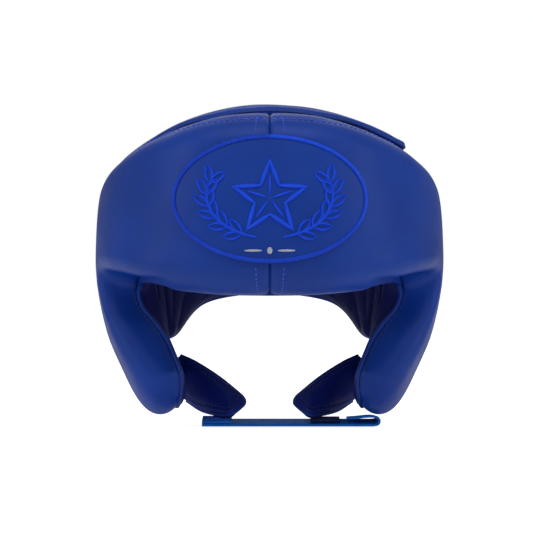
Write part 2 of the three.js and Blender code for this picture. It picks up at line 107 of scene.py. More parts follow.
def head_radius(azimuth, z):
    sine = np.abs(np.sin(np.radians(azimuth))) + 1e-9
    cosine = np.cos(np.radians(azimuth))
    depth = np.where(cosine > 0, head_front(z), head_back(z))
    return ((sine / head_side(z)) ** SQUARENESS + (np.abs(cosine) / depth) ** SQUARENESS) ** (-1 / SQUARENESS)


def padding(azimuth, z):
    return padding_around(180 - np.abs(180 - np.abs(azimuth))) * padding_share(z)


def on_head(azimuth, z, outward):
    """Points a given distance outside the head surface."""
    r = head_radius(azimuth, z) + outward
    a = np.radians(azimuth)
    return stacked(r * np.sin(a), -r * np.cos(a), z)


def smoothstep(x, low, high):
    t = np.clip((np.asarray(x, float) - low) / (high - low), 0, 1)
    return t * t * (3 - 2 * t)


def mix(a, b, t):
    return a + (b - a) * t


def bell(x, width):
    return np.exp(-((x / width) ** 2))


def unit(v):
    return v / np.maximum(np.linalg.norm(v, axis=-1, keepdims=True), 1e-9)


def stacked(*parts):
    """Coordinates as the last axis of one array."""
    return np.stack(np.broadcast_arrays(*parts), -1)


def from_edges(share):
    return np.minimum(share, 1 - share)


def quarter_round(share):
    """Rises from 0 to 1 as a quarter circle, and stays there."""
    return np.sqrt(1 - (1 - np.clip(share, 0, 1)) ** 2)


def run_length(points):
    """Distance along a line of points, from its first."""
    return np.concatenate([[0], np.cumsum(np.linalg.norm(np.diff(points, axis=0), axis=1))])


# ---- Materials ----
def rgb(red, green, blue):
    """Linear colour from an sRGB one in 0-255."""

    def channel(value):
        value /= 255
        return value / 12.92 if value <= 0.04045 else ((value + 0.055) / 1.055) ** 2.4

    return (channel(red), channel(green), channel(blue), 1)


def band_scale(pitch):
    """The wave texture's scale for one straight band each pitch, in the units of its coordinate."""
    return 2 * math.pi / (20 * pitch)


class Nodes:
    """A short way to build a material's node tree."""

    def __init__(self, name):
        self.material = bpy.data.materials.new(name)
        self.material.use_nodes = True
        self.tree = self.material.node_tree
        self.tree.nodes.clear()
        self.shader = self.add("ShaderNodeBsdfPrincipled")
        self.link(self.shader, "BSDF", self.add("ShaderNodeOutputMaterial"), "Surface")
        self.place = self.add("ShaderNodeTexCoord")

    def add(self, kind, inputs=None, **settings):
        node = self.tree.nodes.new(kind)
        for key, value in settings.items():
            setattr(node, key, value)
        for key, value in (inputs or {}).items():
            node.inputs[key].default_value = value
        return node

    def link(self, source, output, target, socket):
        self.tree.links.new(source.outputs[output], target.inputs[socket])

    def texture(self, kind, coordinate="Object", inputs=None, **settings):
        node = self.add(kind, inputs, **settings)
        self.link(self.place, coordinate, node, "Vector")
        return node

    def noise(self, scale, detail):
        return self.texture("ShaderNodeTexNoise", inputs={"Scale": scale, "Detail": detail})

    def ramp(self, source, output, low, high, low_value=0.0, high_value=1.0):
        inputs = {"From Min": low, "From Max": high, "To Min": low_value, "To Max": high_value}
        node = self.add("ShaderNodeMapRange", inputs)
        self.link(source, output, node, "Value")
        return node

    def blend(self, factor, output, first, second):
        """A mix of two colours. first is a colour or an earlier mix."""
        node = self.add("ShaderNodeMix", data_type="RGBA")
        self.link(factor, output, node, 0)
        if isinstance(first, tuple):
            node.inputs[6].default_value = first
        else:
            self.link(first, 2, node, 6)
        node.inputs[7].default_value = second
        return node

    def bump(self, source, output, strength, distance, under=None):
        node = self.add("ShaderNodeBump", {"Strength": strength, "Distance": distance})
        self.link(source, output, node, "Height")
        if under:
            self.link(under, "Normal", node, "Normal")
        return node

    def done(self, tone, level, **inputs):
        """Sets the shader's colour, its normal and its plain inputs, named with _ for a space."""
        self.link(tone, 2, self.shader, "Base Color")
        self.link(level, "Normal", self.shader, "Normal")
        for key, value in inputs.items():
            self.shader.inputs[key.replace("_", " ")].default_value = value
        return self.material


FLOSS = 0.5  # pitch of the embroidery floss in its UV map, in mm
YARN = 1.2  # the same for the webbing's yarns
TWIST = 0.0009  # pitch of the sewing thread's twist, in metres


def leather(name, color, pale, dark, roughness=0.46, grain=0.25, shine=0.2):
    """Smooth cowhide: a fine pebble grain, faint creases, worn pale edges and painted shade in its hollows.
    """
    m = Nodes(name)
    tone = m.blend(m.ramp(m.noise(16, 4), "Fac", 0.4, 0.75, 0, 0.35), "Result", color, dark)
    shape = m.add("ShaderNodeNewGeometry")
    tone = m.blend(m.ramp(shape, "Pointiness", 0.51, 0.58, 0, 0.5), "Result", tone, pale)
    # painted shade: where Pointiness is low, in hollows and creases, the tone darkens towards dark
    tone = m.blend(m.ramp(shape, "Pointiness", 0.485, 0.42, 0, 0.75), "Result", tone, dark)
    pores = m.texture("ShaderNodeTexVoronoi", inputs={"Scale": 850}, feature="SMOOTH_F1")
    level = m.bump(m.noise(28, 3), "Fac", 0.14, 0.004)
    level = m.bump(m.noise(150, 6), "Fac", 0.6 * grain, 0.0006, level)
    level = m.bump(pores, "Distance", grain, 0.00025, level)
    gloss = m.ramp(m.noise(60, 4), "Fac", 0.3, 0.75, roughness - 0.05, roughness + 0.07)
    m.link(gloss, "Result", m.shader, "Roughness")
    return m.done(tone, level, Specular_IOR_Level=shine)


def satin_thread(name, color, dark):
    """Embroidery floss laid side by side across a stroke, whose UV map runs along it in mm."""
    m = Nodes(name)
    inputs = {"Scale": band_scale(FLOSS), "Distortion": 1.2, "Detail": 1, "Detail Scale": 3}
    floss = m.texture("ShaderNodeTexWave", "UV", inputs, bands_direction="X")
    tone = m.blend(floss, "Fac", dark, color)
    tone = m.blend(m.ramp(m.noise(400, 2), "Fac", 0.35, 0.7, 0, 0.4), "Result", tone, dark)
    return m.done(tone, m.bump(floss, "Fac", 0.8, 0.0003), Roughness=0.4, Specular_IOR_Level=0.25)


def sewing_thread(name, color, dark):
    """Sewing thread, with the slanting ridges of its twist."""
    m = Nodes(name)
    inputs = {"Scale": 2 * band_scale(TWIST)}
    twist = m.texture("ShaderNodeTexWave", inputs=inputs, bands_direction="DIAGONAL")
    tone = m.blend(twist, "Fac", dark, color)
    return m.done(tone, m.bump(twist, "Fac", 0.5, 0.0002), Roughness=0.42, Sheen_Weight=0.2)


def weave(name, color, dark):
    """Woven webbing: crossing yarns in the UV map, which is in mm."""
    m = Nodes(name)
    both = m.add("ShaderNodeMath", operation="MULTIPLY")
    for k, direction in enumerate("XY"):
        yarn = m.texture("ShaderNodeTexWave", "UV", {"Scale": band_scale(YARN)}, bands_direction=direction)
        m.link(yarn, "Fac", both, k)
    tone = m.blend(both, "Value", dark, color)
    level = m.bump(both, "Value", 0.9, 0.0005)
    level = m.bump(m.noise(2500, 2), "Fac", 0.25, 0.0002, level)
    return m.done(tone, level, Roughness=0.6, Specular_IOR_Level=0.2)


def pile(name, color, pale, scale):
    """Hook-and-loop tape: a dense matt pile."""
    m = Nodes(name)
    tufts = m.texture("ShaderNodeTexVoronoi", inputs={"Scale": scale})
    fuzz = m.noise(scale * 2, 4)
    tone = m.blend(fuzz, "Fac", color, pale)
    level = m.bump(tufts, "Distance", 0.9, 0.0007)
    level = m.bump(fuzz, "Fac", 0.6, 0.0004, level)
    return m.done(tone, level, Roughness=0.95, Sheen_Weight=0.05, Specular_IOR_Level=0.1)


OUTER = leather("outer_leather", rgb(14, 58, 150), rgb(36, 72, 160), rgb(6, 26, 88))
LINING = leather("lining_leather", rgb(24, 30, 92), rgb(44, 52, 120), rgb(10, 12, 44), 0.58, 0.3, 0.12)
CHIN = leather("chin_leather", rgb(16, 34, 124), rgb(36, 56, 150), rgb(8, 14, 62), 0.5, 0.3, 0.18)
PIPING = leather("piping_leather", rgb(12, 50, 138), rgb(34, 64, 150), rgb(6, 18, 66), 0.45, 0.2, 0.2)
SATIN = satin_thread("satin_thread", rgb(16, 96, 255), rgb(8, 62, 232))
PALE_SATIN = satin_thread("pale_satin_thread", rgb(226, 230, 238), rgb(150, 158, 180))
THREAD = sewing_thread("blue_thread", rgb(26, 88, 245), rgb(12, 48, 190))
DARK_THREAD = sewing_thread("dark_thread", rgb(22, 36, 120), rgb(8, 12, 54))
WEBBING = weave("webbing", rgb(16, 144, 240), rgb(8, 96, 196))
LOOPS = pile("loop_pile", rgb(10, 26, 84), rgb(24, 46, 120), 1600)
HOOKS = pile("hook_tape", rgb(8, 18, 62), rgb(20, 36, 96), 1100)


# ---- Meshes ----
def linked(name, data):
    """A new object in the scene."""
    obj = bpy.data.objects.new(name, data)
    bpy.context.scene.collection.objects.link(obj)
    return obj


def to_object(name, points, faces, material, uv):
    """A smooth mesh object from points in mm from the head's axis. uv has a pair in mm for each point."""
    mesh = bpy.data.meshes.new(name)
    placed = (np.asarray(points) + (0, HEAD_AXIS_Y, 0)) * MM
    mesh.from_pydata(placed.tolist(), [], faces)
    layer = mesh.uv_layers.new(name="along_across")
    corners = np.zeros(len(mesh.loops), np.int32)
    mesh.loops.foreach_get("vertex_index", corners)
    layer.data.foreach_set("uv", np.asarray(uv, np.float32)[corners].ravel())
    mesh.materials.append(material)
    mesh.shade_smooth()
    mesh.set_sharp_from_angle(angle=math.radians(60))
    return linked(name, mesh)


def quads_of(rows, cols, ring=False):
    """The faces of a grid of points, as an array of four indices each."""
    i, j = np.meshgrid(np.arange(rows if ring else rows - 1), np.arange(cols - 1), indexing="ij")
    k = (i + 1) % rows
    return np.stack([i * cols + j, k * cols + j, k * cols + j + 1, i * cols + j + 1], -1).reshape(-1, 4)


def volume(points, quads):
    a, b, c, d = (points[quads[:, k]] for k in range(4))
    return np.einsum("ij,ij->", a, np.cross(b, c)) + np.einsum("ij,ij->", a, np.cross(c, d))


def arc_length(grid):
    """Distance along each row and column of a grid from its first point, as (rows, cols, 2)."""
    parts = []
    for axis in (0, 1):
        steps = np.linalg.norm(np.diff(grid, axis=axis), axis=-1)
        start = np.zeros_like(steps.take([0], axis=axis))
        parts.append(np.cumsum(np.concatenate([start, steps], axis=axis), axis=axis))
    return np.stack(parts, -1)


def closed_between(top, bottom, ring=False):
    """Points, faces and UVs of a closed solid from two equal grids. A ring's last row meets its first."""
    rows, cols = top.shape[:2]
    count = rows * cols
    points = np.concatenate([top.reshape(-1, 3), bottom.reshape(-1, 3)])
    upper = quads_of(rows, cols, ring)
    starts = list(range(0, count, cols))
    walls = []
    for loop, turn in ((starts, 1), ([k + cols - 1 for k in starts], -1)):
        pairs = zip(loop, loop[1:] + loop[:1]) if ring else zip(loop, loop[1:])
        walls += [(a, a + count, b + count, b)[::turn] for a, b in pairs]
    if not ring:
        last = count - cols
        for j in range(cols - 1):
            walls.append((j + 1, j + 1 + count, j + count, j))
            walls.append((last + j, last + j + count, last + j + 1 + count, last + j + 1))
    quads = np.concatenate([upper, (upper + count)[:, ::-1], np.array(walls)])
    if volume(points, quads) < 0:
        quads = quads[:, ::-1]
    return points, quads, np.concatenate([arc_length(top).reshape(-1, 2)] * 2)


def solid_between(name, top, bottom, material, ring=False):
    points, quads, uv = closed_between(top, bottom, ring)
    return to_object(name, points, quads.tolist(), material, uv)


def tube_faces(rings, count, closed=False):
    """The side faces between rings of points, each with a given count."""
    faces = []
    for i in range(rings - (0 if closed else 1)):
        k = (i + 1) % rings
        for j in range(count):
            n = (j + 1) % count
            faces.append((i * count + j, i * count + n, k * count + n, k * count + j))
    return faces


def sweep(name, path, section, material, side=None, closed=False):
    """A closed solid with one outline (pairs of side and up, mm) all along a path."""
    path = np.asarray(path, float)
    if closed:
        tangent = unit(np.roll(path, -1, axis=0) - np.roll(path, 1, axis=0))
    else:
        tangent = unit(np.gradient(path, axis=0))
    across = np.zeros_like(path)
    across[0] = side if side is not None else np.cross(tangent[0], (0.31, 0.52, 0.8))
    for i in range(len(path)):
        across[i] = across[max(i - 1, 0)] if side is None or i else across[0]
        across[i] -= tangent[i] * np.dot(across[i], tangent[i])
        across[i] = unit(across[i])
    up = np.cross(tangent, across)
    section = np.asarray(section, float)
    rings = path[:, None] + section[None, :, :1] * across[:, None] + section[None, :, 1:] * up[:, None]
    count = len(section)
    uv = stacked(run_length(path)[:, None], run_length(section)[None])
    quads = tube_faces(len(path), count, closed)
    points = rings.reshape(-1, 3)
    turn = -1 if volume(points, np.array(quads)) < 0 else 1
    faces = [quad[::turn] for quad in quads]
    if not closed:
        first = tuple(range(count))
        last = tuple(range(len(points) - count, len(points)))
        faces += [first[::-1][::turn], last[::turn]]
    return to_object(name, points, faces, material, uv.reshape(-1, 2))


def circle(radius, sides):
    angle = np.arange(sides) * 2 * np.pi / sides
    return radius * np.stack([np.cos(angle), np.sin(angle)], -1)


def tape(width, thick):
    """The outline of a flat tape with round edges, as a section for sweep."""
    r = thick / 2
    angle = np.linspace(-np.pi / 2, np.pi / 2, 9)
    right = np.stack([width / 2 - r + r * np.cos(angle), r * np.sin(angle)], -1)
    top = np.stack([np.linspace(width / 2 - r, r - width / 2, 8)[1:-1], np.full(6, r)], -1)
    return np.concatenate([right, top, -right, -top])


def evenly(path, spacing, closed=False):
    """Points at an even spacing along a path, with the path's other columns carried along."""
    path = np.asarray(path, float)
    if closed:
        path = np.concatenate([path, path[:1]])
    distance = run_length(path[:, :3])
    count = max(int(round(distance[-1] / spacing)), 2)
    at = np.linspace(0, distance[-1], count + 1)[: -1 if closed else None]
    return np.stack([np.interp(at, distance, column) for column in path.T], -1)


def stitch_mesh(length, radius):
    """One stitch along x: a short cord, thinner at its ends, whose middle rises."""
    x = np.array([-0.5, -0.42, -0.2, 0, 0.2, 0.42, 0.5]) * length
    size = np.array([0.25, 0.7, 0.95, 1, 0.95, 0.7, 0.25]) * radius
    lift = np.array([-1.2, -0.5, 0.1, 0.25, 0.1, -0.5, -1.2]) * radius
    angle = np.arange(6) * np.pi / 3
    y = size[:, None] * np.cos(angle)
    z = lift[:, None] + size[:, None] * np.sin(angle)
    points = stacked(x[:, None], y, z).reshape(-1, 3)
    ends = [tuple(range(5, -1, -1)), tuple(range(len(points) - 6, len(points)))]
    return points, tube_faces(len(x), 6) + ends


def stitches(name, rows, material, length=2.9, pitch=4.0, radius=0.42, closed=False):
    """Runs of stitches as one object. Each row is an array of points and outward normals (6 columns)."""
    shape, sides = stitch_mesh(length, radius)
    all_points, faces = [], []
    for row in rows:
        row = evenly(row, pitch, closed)
        tangent = unit(np.gradient(row[:, :3], axis=0))
        normal = unit(row[:, 3:])
        across = unit(np.cross(normal, tangent))
        for k in range(len(row) if closed else len(row) - 1):
            middle = row[k, :3] if closed else (row[k, :3] + row[k + 1, :3]) / 2
            start = len(all_points) * len(shape)
            turn = np.stack([tangent[k], across[k], normal[k]])
            all_points.append(middle + normal[k] * radius * 0.35 + shape @ turn)
            faces += [tuple(start + v for v in face[::-1]) for face in sides]
    points = np.concatenate(all_points)
    return to_object(name, points, faces, material, np.zeros((len(points), 2)))


# ---- Pads ----
SEAM_DEPTH = 0.34
CLOTH_FRAMES = 20
CLOTH_PRESSURE = 4


class Pad:
    """A pad between two edges on a surface, on the wearer's left. Shares run from 0 to 1 along and across it.

    point(along, across, outward) is on the surface or outside it. The seam joins the outer and inner skins
    at a share of the thickness. At its edges the pad is rounded by rim, and its plan by corner.
    """

    def __init__(self, point, thickness, length, rim, seam=SEAM_DEPTH, starts_round=True, corner=0.0):
        self.point, self.thickness, self.length, self.rim = point, thickness, length, rim
        self.seam = seam if callable(seam) else lambda along: seam
        self.starts_round, self.corner = starts_round, corner
        self.swell = {}

    def width(self, along):
        middle = self.thickness(along, 0.5) / 2
        return np.linalg.norm(self.point(along, 0.0, middle) - self.point(along, 1.0, middle), axis=-1)

    def depths(self, along, across):
        """Distance in from the nearest end and from the nearest side."""
        end = (1 - along) * self.length
        if self.starts_round:
            end = np.minimum(along * self.length, end)
        return end, from_edges(across) * self.width(along)

    def surface(self, along, across, side=1, base=SEAM_GAP):
        """Points on the outer skin (side 1), the inner one (-1) or the seam (0)."""
        along, across = np.broadcast_arrays(np.asarray(along, float), np.asarray(across, float))
        end, edge = self.depths(along, across)
        full = [quarter_round(depth / self.rim) for depth in (end, edge)]
        thick = self.thickness(along, across)
        seam = thick * self.seam(along)
        reach = thick - seam if side > 0 else seam
        plan = self.pinched(along, across, end)
        return self.point(along, plan, seam + side * (base + (reach - base) * full[0] * full[1]))

    def pinched(self, along, across, end):
        """Shares across, drawn in towards the middle where the ends' corners are rounded."""
        pinch = self.corner * (1 - quarter_round(end / max(self.corner, 1e-6)))
        return 0.5 + (across - 0.5) * (1 - 2 * pinch / self.width(along))

    def shares(self, steps_along, steps_across, rim_steps):
        """Stations along and across, close together where the pad is rounded: (rows, 1) and (rows, cols)."""
        turn = 1 - np.cos(np.linspace(0, np.pi / 2, rim_steps, endpoint=False))
        low = self.rim if self.starts_round else 0
        parts = [self.rim * turn] if self.starts_round else []
        parts += [np.linspace(low, self.length - self.rim, steps_along), self.length - self.rim * turn[::-1]]
        along = np.concatenate(parts)[:, None] / self.length
        width = self.width(along)
        flat = self.rim + (width - 2 * self.rim) * np.linspace(0, 1, steps_across)
        across = np.concatenate([self.rim * turn + 0 * width, flat, width - self.rim * turn[::-1]], 1) / width
        return along, across

    def skins(self, steps_along, steps_across, rim_steps, relief=None, lining_relief=None):
        """Grids of the outer skin, the seam's two sides and the lining, after relief along the normals."""
        along, across = self.shares(steps_along, steps_across, rim_steps)
        along = np.broadcast_to(along, across.shape)
        edge = np.minimum(*self.depths(along, across))
        middle = sum(self.surface(along, across, side, SEAM_GAP / 2) for side in (1, -1)) / 2
        grids = []
        for side, raised in ((1, relief), (-1, lining_relief)):
            grid = self.surface(along, across, side)
            amount = raised(along, across, edge, grid) if raised else np.zeros(across.shape)
            if side in self.swell:
                amount = amount + sampled(self.swell[side], along, across)
            grids.append(grid + grid_normals(grid, middle) * amount[..., None])
        return grids[0], *self.seam_sheet(along, across), grids[1]

    def seam_sheet(self, along, across):
        """The two sides of the seam, as grids with no thickness of padding between them."""
        plan = self.pinched(along, across, self.depths(along, across)[0])
        seam = self.thickness(along, plan) * self.seam(along)
        return [self.point(along, plan, seam + k * SEAM_GAP / 2) for k in (1, -1)]

    def inflate(self, rows=30, cols=20, most=1.8, free=lambda along, across: 1.0):
        """Lets the foam swell both skins, as cloth under pressure held along the seam. free is 0 to 1."""
        along = np.linspace(0, 1, rows)[:, None]
        across = np.linspace(0, 1, cols)[None, :] + 0 * along
        skins = [self.surface(along, across, side) for side in (1, -1)]
        bag = solid_between("cloth_bag", *skins, OUTER)
        on_edge = np.zeros((rows, cols), bool)
        on_edge[[0, -1]] = on_edge[:, [0, -1]] = True
        moved = blown_up(bag, np.flatnonzero(np.concatenate([on_edge.ravel()] * 2)))
        for side, skin, shift in zip((1, -1), skins, np.split(moved, 2)):
            amount = np.einsum("ijk,ijk->ij", shift.reshape(skin.shape), grid_normals(skin, sum(skins) / 2))
            self.swell[side] = np.clip(amount, -most, most) * free(along, across)

    def path(self, inset, run=(0.0, 1.0), edges="AB", count=160):
        """Shares along a path a given depth in from the edges.

        A is the edge at across 0, E the far end, B the edge at across 1, run backwards, and S the near end.
        """
        low = max(run[0], inset / self.length if self.starts_round else 0)
        high = min(run[1], 1 - inset / self.length)
        along = np.linspace(low, high, count)
        near = inset / self.width(along)
        over = np.linspace(0, 1, count // 3)[1:-1]
        parts = {
            "A": (along, near),
            "E": (np.full(over.shape, high), mix(near[-1], 1 - near[-1], over)),
            "B": (along[::-1], (1 - near)[::-1]),
            "S": (np.full(over.shape, low), mix(1 - near[0], near[0], over)),
        }
        return [np.concatenate([parts[edge][k] for edge in edges]) for k in (0, 1)]


def even_thickness(thickness):
    """The same thickness all over a pad."""
    return lambda along, across: thickness + 0 * along + 0 * across


def edge_row(pad, skin, side, inset, run=(0, 1), edges="AEBS", face=1):
    """A stitch row on a pad's finished skin, at an inset from its edges."""
    return lay_on(skin, mirror(pad.surface(*pad.path(inset, run, edges), face), side))


def edge_cord(name, pad, side, edges, run, radius=1.3, outward=0.5, closed=False):
    """A piping cord along a pad's edges."""
    along, across = pad.path(0, run, edges)
    seam = pad.surface(along, across, 0)
    centre = pad.surface(mix(along, 0.5, 0.02), mix(across, 0.5, 0.04), 0)
    path = evenly(seam + unit(seam - centre) * outward, 2.5, closed)
    return sweep(name, mirror(path, side), circle(radius, 10), PIPING, closed=closed)


def pad_halves(stem, name, side, body, grids, materials=(OUTER, LINING), slot="leather_outer"):
    """A pad's outer half with its foam, and its inner half, from its skins and on its body."""
    outer, inner = (
        solid_on(f"{stem}_{kind}_{name}", side, *pair, material)
        for kind, pair, material in zip(("pad", "inner"), (grids[:2], grids[2:]), materials)
    )
    on_body(outer, body, slot, f"{stem}_cover_{name}", f"{stem}_foam_{name}")
    on_body(inner, body, "leather_lining", f"{stem}_lining_{name}")
    return outer, inner


def grid_normals(grid, inside):
    """Unit normals of a grid of points, away from another grid."""
    normal = unit(np.cross(np.gradient(grid, axis=0), np.gradient(grid, axis=1)))
    return normal * np.sign(np.einsum("ijk,ijk->", normal, grid - inside))


def sampled(values, along, across):
    """Values from a grid of equal steps, between its points, at shares along and across it."""
    rows, cols = values.shape
    i, j = np.clip(along, 0, 1) * (rows - 1), np.clip(across, 0, 1) * (cols - 1)
    i0, j0 = np.minimum(i.astype(int), rows - 2), np.minimum(j.astype(int), cols - 2)
    first = mix(values[i0, j0], values[i0, j0 + 1], j - j0)
    second = mix(values[i0 + 1, j0], values[i0 + 1, j0 + 1], j - j0)
    return mix(first, second, i - i0)


def blown_up(bag, held):
    """Runs a closed object as cloth under pressure, removes it, and returns its vertices' movement in mm."""
    pins = bag.vertex_groups.new(name="seam")
    pins.add(held.tolist(), 1.0, "REPLACE")
    cloth = bag.modifiers.new("cloth", "CLOTH")
    settings = cloth.settings
    settings.quality = 6
    settings.mass = 0.25
    settings.tension_stiffness = settings.compression_stiffness = 25
    settings.shear_stiffness = 10
    settings.bending_stiffness = 2
    settings.use_pressure = True
    settings.uniform_pressure_force = CLOTH_PRESSURE
    settings.vertex_group_mass = pins.name
    settings.effector_weights.gravity = 0
    cloth.point_cache.frame_start, cloth.point_cache.frame_end = 1, CLOTH_FRAMES
    rest = np.array([v.co for v in bag.data.vertices])
    scene = bpy.context.scene
    for number in range(1, CLOTH_FRAMES + 1):
        scene.frame_set(number)
        bpy.context.view_layer.update()
    shaped = bag.evaluated_get(bpy.context.evaluated_depsgraph_get()).data
    after = np.array([v.co for v in shaped.vertices])
    scene.frame_set(1)
    bpy.data.objects.remove(bag, do_unlink=True)
    return (after - rest) / MM


def mirror(points, side):
    return np.asarray(points) * (side, 1, 1)


def solid_on(name, side, top, bottom, material):
    """A solid between two grids, on either side of the head."""
    return solid_between(name, mirror(top, side), mirror(bottom, side), material)


def lumps(points, size, height):
    """Soft unevenness of padding: a smooth noise at each point."""
    flat = (points.reshape(-1, 3) / size).tolist()
    return height * np.array([noise.noise(Vector(p)) for p in flat]).reshape(points.shape[:-1])


def lay_on(obj, points):
    """The nearest places on an object's surface to points in mm, with their normals (6 columns)."""
    rows = []
    for point in np.asarray(points):
        _, found, normal, _ = obj.closest_point_on_mesh(in_frame(point))
        rows.append([*(np.array(found) / MM - (0, HEAD_AXIS_Y, 0)), *normal])
    return np.array(rows)


def in_frame(point):
    """A point in mm from the head's axis, in the frame's metres."""
    return Vector((np.asarray(point) + (0, HEAD_AXIS_Y, 0)) * MM)


def stands_for(obj, slot, replaced):
    if replaced:
        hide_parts(*replaced)


def on_body(obj, body, slot, *replaced):
    """Puts a finished piece on its body and hides the CAD nodes it stands for. slot is not used."""
    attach(obj, body)
    stands_for(obj, slot, replaced)


def bend(obj, bodies, start, end, slot, *replaced):
    """Bakes a piece's transform and hides the CAD nodes it stands for. bodies, start, end and slot are not
    used.
    """
    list(bodies)
    in_frame(start)
    in_frame(end)
    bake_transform(obj)
    stands_for(obj, slot, replaced)


# ---- Shell: brow and cheeks ----
FACE_EDGE = rows_profile([
    (0, 0, 90), (0.15, 18, 90.5), (0.3, 36, 93), (0.42, 53, 97), (0.5, 66, 98), (0.56, 72, 93),
    (0.64, 69.5, 81), (0.74, 62, 67), (0.86, 54, 51), (1, 44, 32),
])
OUTER_EDGE = rows_profile([
    (0, 0, 210), (0.15, 21, 207.5), (0.3, 42, 200), (0.42, 63, 189), (0.5, 80, 180.5), (0.56, 92, 168),
    (0.64, 97, 128), (0.74, 97, 90), (0.86, 95, 56), (1, 86, 21),
])
SHELL_SEAM = profile(
    [(0, 0.16), (0.42, 0.2), (0.55, 0.34), (0.64, 0.33), (0.72, 0.2), (0.82, 0.14), (1, 0.26)]
)
BROW_Z = (90, 210)  # its lower and upper edge at the centre seam
SHELL_LENGTH = 250
SHELL_RIM = 19
SHELL_STEPS = (150, 46, 20)
CHEEK_DROP = 13.5  # how far the cheek's lower end hangs down in its middle
CHEEK_LOBE = 7.5  # how far the cover swells below the seam there
CHEEK_START = 0.5  # share along the band where the cheek's lining begins
CREASE = profile([(84, 97), (100, 100), (118, 104)])  # height of the fold between brow and cheek, by x
EDGE_STITCH = 5.0  # depth of a stitch row in from an edge
CHEEK_STITCH = 0.14  # the same beside the cheek's piping, where the cover turns almost straight out
CENTRE_STITCH = 4.2  # distance of a stitch row from the centre seam
BADGE_Z = 152
BADGE_HALF = (63, 41)


def place_on_shell(along, across):
    a0, z0 = (value(along) for value in FACE_EDGE)
    a1, z1 = (value(along) for value in OUTER_EDGE)
    sag = CHEEK_DROP * 4 * across * (1 - across) * smoothstep(along, 0.7, 1.05)
    return mix(a0, a1, across), mix(z0, z1, across) - sag


def head_pad(place, length, rim, **rest):
    """A pad on the head surface, from its azimuths and heights."""
    return Pad(
        lambda along, across, outward: on_head(*place(along, across), outward),
        lambda along, across: padding(*place(along, across)),
        length, rim, **rest,
    )


shell = head_pad(place_on_shell, SHELL_LENGTH, SHELL_RIM, seam=SHELL_SEAM, starts_round=False, corner=15)


def shell_relief(along, across, edge, points):
    """The centre seam, the fold above the cheek, the top stitches' groove and the lobe of the cheek."""
    x, z = points[..., 0], points[..., 2]
    centre_seam = -2.2 * bell(x, 1.5) - 0.5 * bell(x, 8) - 0.35 * bell(x - CENTRE_STITCH, 1.2)
    inner = smoothstep(x, 122, 98)
    from_crease = z - CREASE(x)
    crease = inner * smoothstep(x, 60, 82) * (-5.5 * bell(from_crease, 4.5) + 1.8 * bell(from_crease - 12, 9))
    brow = 1 - smoothstep(along, 0.58, 0.7)
    turn = quarter_round((1 - along) * SHELL_LENGTH / SHELL_RIM)
    lobe = CHEEK_LOBE * np.sin(np.pi * turn) * smoothstep(from_edges(across), 0.02, 0.22)
    row = -0.45 * bell(edge - EDGE_STITCH, 1.3) * brow * (across > 0.5)
    return centre_seam + crease + row + lobe + lumps(points, 34, 0.5)


def lining_channels(along, across, edge, points):
    """Upright quilted channels in the lining round the head."""
    azimuth = np.degrees(np.arctan2(points[..., 0], -points[..., 1]))
    ridge = np.abs(np.sin(np.radians(azimuth * 180 / 13)))
    return smoothstep(edge, 3, 12) * (1.6 * ridge ** 0.5 - 1.4)


def shell_pieces():
    outer, seam_out, seam_in, lining = shell.skins(*SHELL_STEPS, shell_relief, lining_channels)
    along = shell.shares(*SHELL_STEPS)[0][:, 0]
    cheek, brow = along > CHEEK_START - 0.01, along < CHEEK_START
    for name, side in SIDES:
        skin = solid_on(f"shell_leather_{name}", side, outer, seam_out, OUTER)
        replaced = [f"leather_shell_{name}", f"cheek_foam_{name}"] + (["brow_foam"] if side > 0 else [])
        on_body(skin, "shell", "leather_outer", *replaced)
        inner = solid_on(f"cheek_lining_pad_{name}", side, seam_in[cheek], lining[cheek], LINING)
        on_body(inner, "shell", "leather_lining", f"cheek_lining_{name}")
        upper = solid_on(f"brow_lining_pad_{name}", side, seam_in[brow], lining[brow], LINING)
        on_body(upper, "shell", "leather_lining", *(["brow_lining"] if side > 0 else []))
        shell_stitches(name, side, skin)
        shell_piping(name, side)


def shell_stitches(name, side, skin):
    for kind, inset, run, edge, thread in (
        ("cheek", CHEEK_STITCH, (0.555, 0.995), "A", DARK_THREAD),
        ("top", EDGE_STITCH, (0, 0.56), "B", THREAD),
    ):
        row = edge_row(shell, skin, side, inset, run, edge)
        on_body(stitches(f"{kind}_edge_stitches_{name}", [row], thread), "shell", "thread")
    z = np.linspace(88, 209, 300)
    clear = BADGE_HALF[1] + 2
    rows = []
    for part in (z[z < BADGE_Z - clear], z[z > BADGE_Z + clear]):
        share = np.clip((part - BROW_Z[0]) / (BROW_Z[1] - BROW_Z[0]), 0.015, 0.985)
        row = shell.surface(CENTRE_STITCH / SHELL_LENGTH * 1.9, share)
        rows.append(lay_on(skin, mirror(row, side)))
    on_body(stitches(f"centre_stitches_{name}", rows, THREAD, 2.3, 3.1, 0.36), "shell", "thread")


def shell_piping(name, side):
    """The cord in the seam round the cheek, from the eye corner to its outer bottom corner."""
    along, across = shell.path(0, (0.52, 1), "AE")
    seam = shell.surface(along, across, 0)
    centre = shell.surface(along, mix(across, 0.5, 0.02), 0)
    path = evenly(seam + unit(seam - centre) * 0.8, 2.5)
    cord = sweep(f"cheek_piping_cord_{name}", mirror(path, side), circle(1.5, 12), PIPING)
    on_body(cord, "shell", "leather_outer", f"cheek_piping_{name}")


# ---- Badge ----
STAR_RADIUS = 24
STAR_NOTCH = 0.42
LAUREL_REACH = (40, 27)
LEAF_AHEAD, LEAF_LEAN = 10.5, 6.2
STROKE = 1.7  # width of the emblem's finer satin lines
PANEL_THICK = 0.8
PANEL_TOP = SEAM_GAP + PANEL_THICK


def on_brow(x, z, outward):
    """Points on the front of the brow, a distance outside its leather."""
    azimuth = np.zeros(np.shape(x))
    for _ in range(6):
        r = head_radius(azimuth, z) + padding(azimuth, z) + outward
        azimuth = np.degrees(np.arcsin(x / r))
    return on_head(azimuth, z, padding(azimuth, z) + outward)


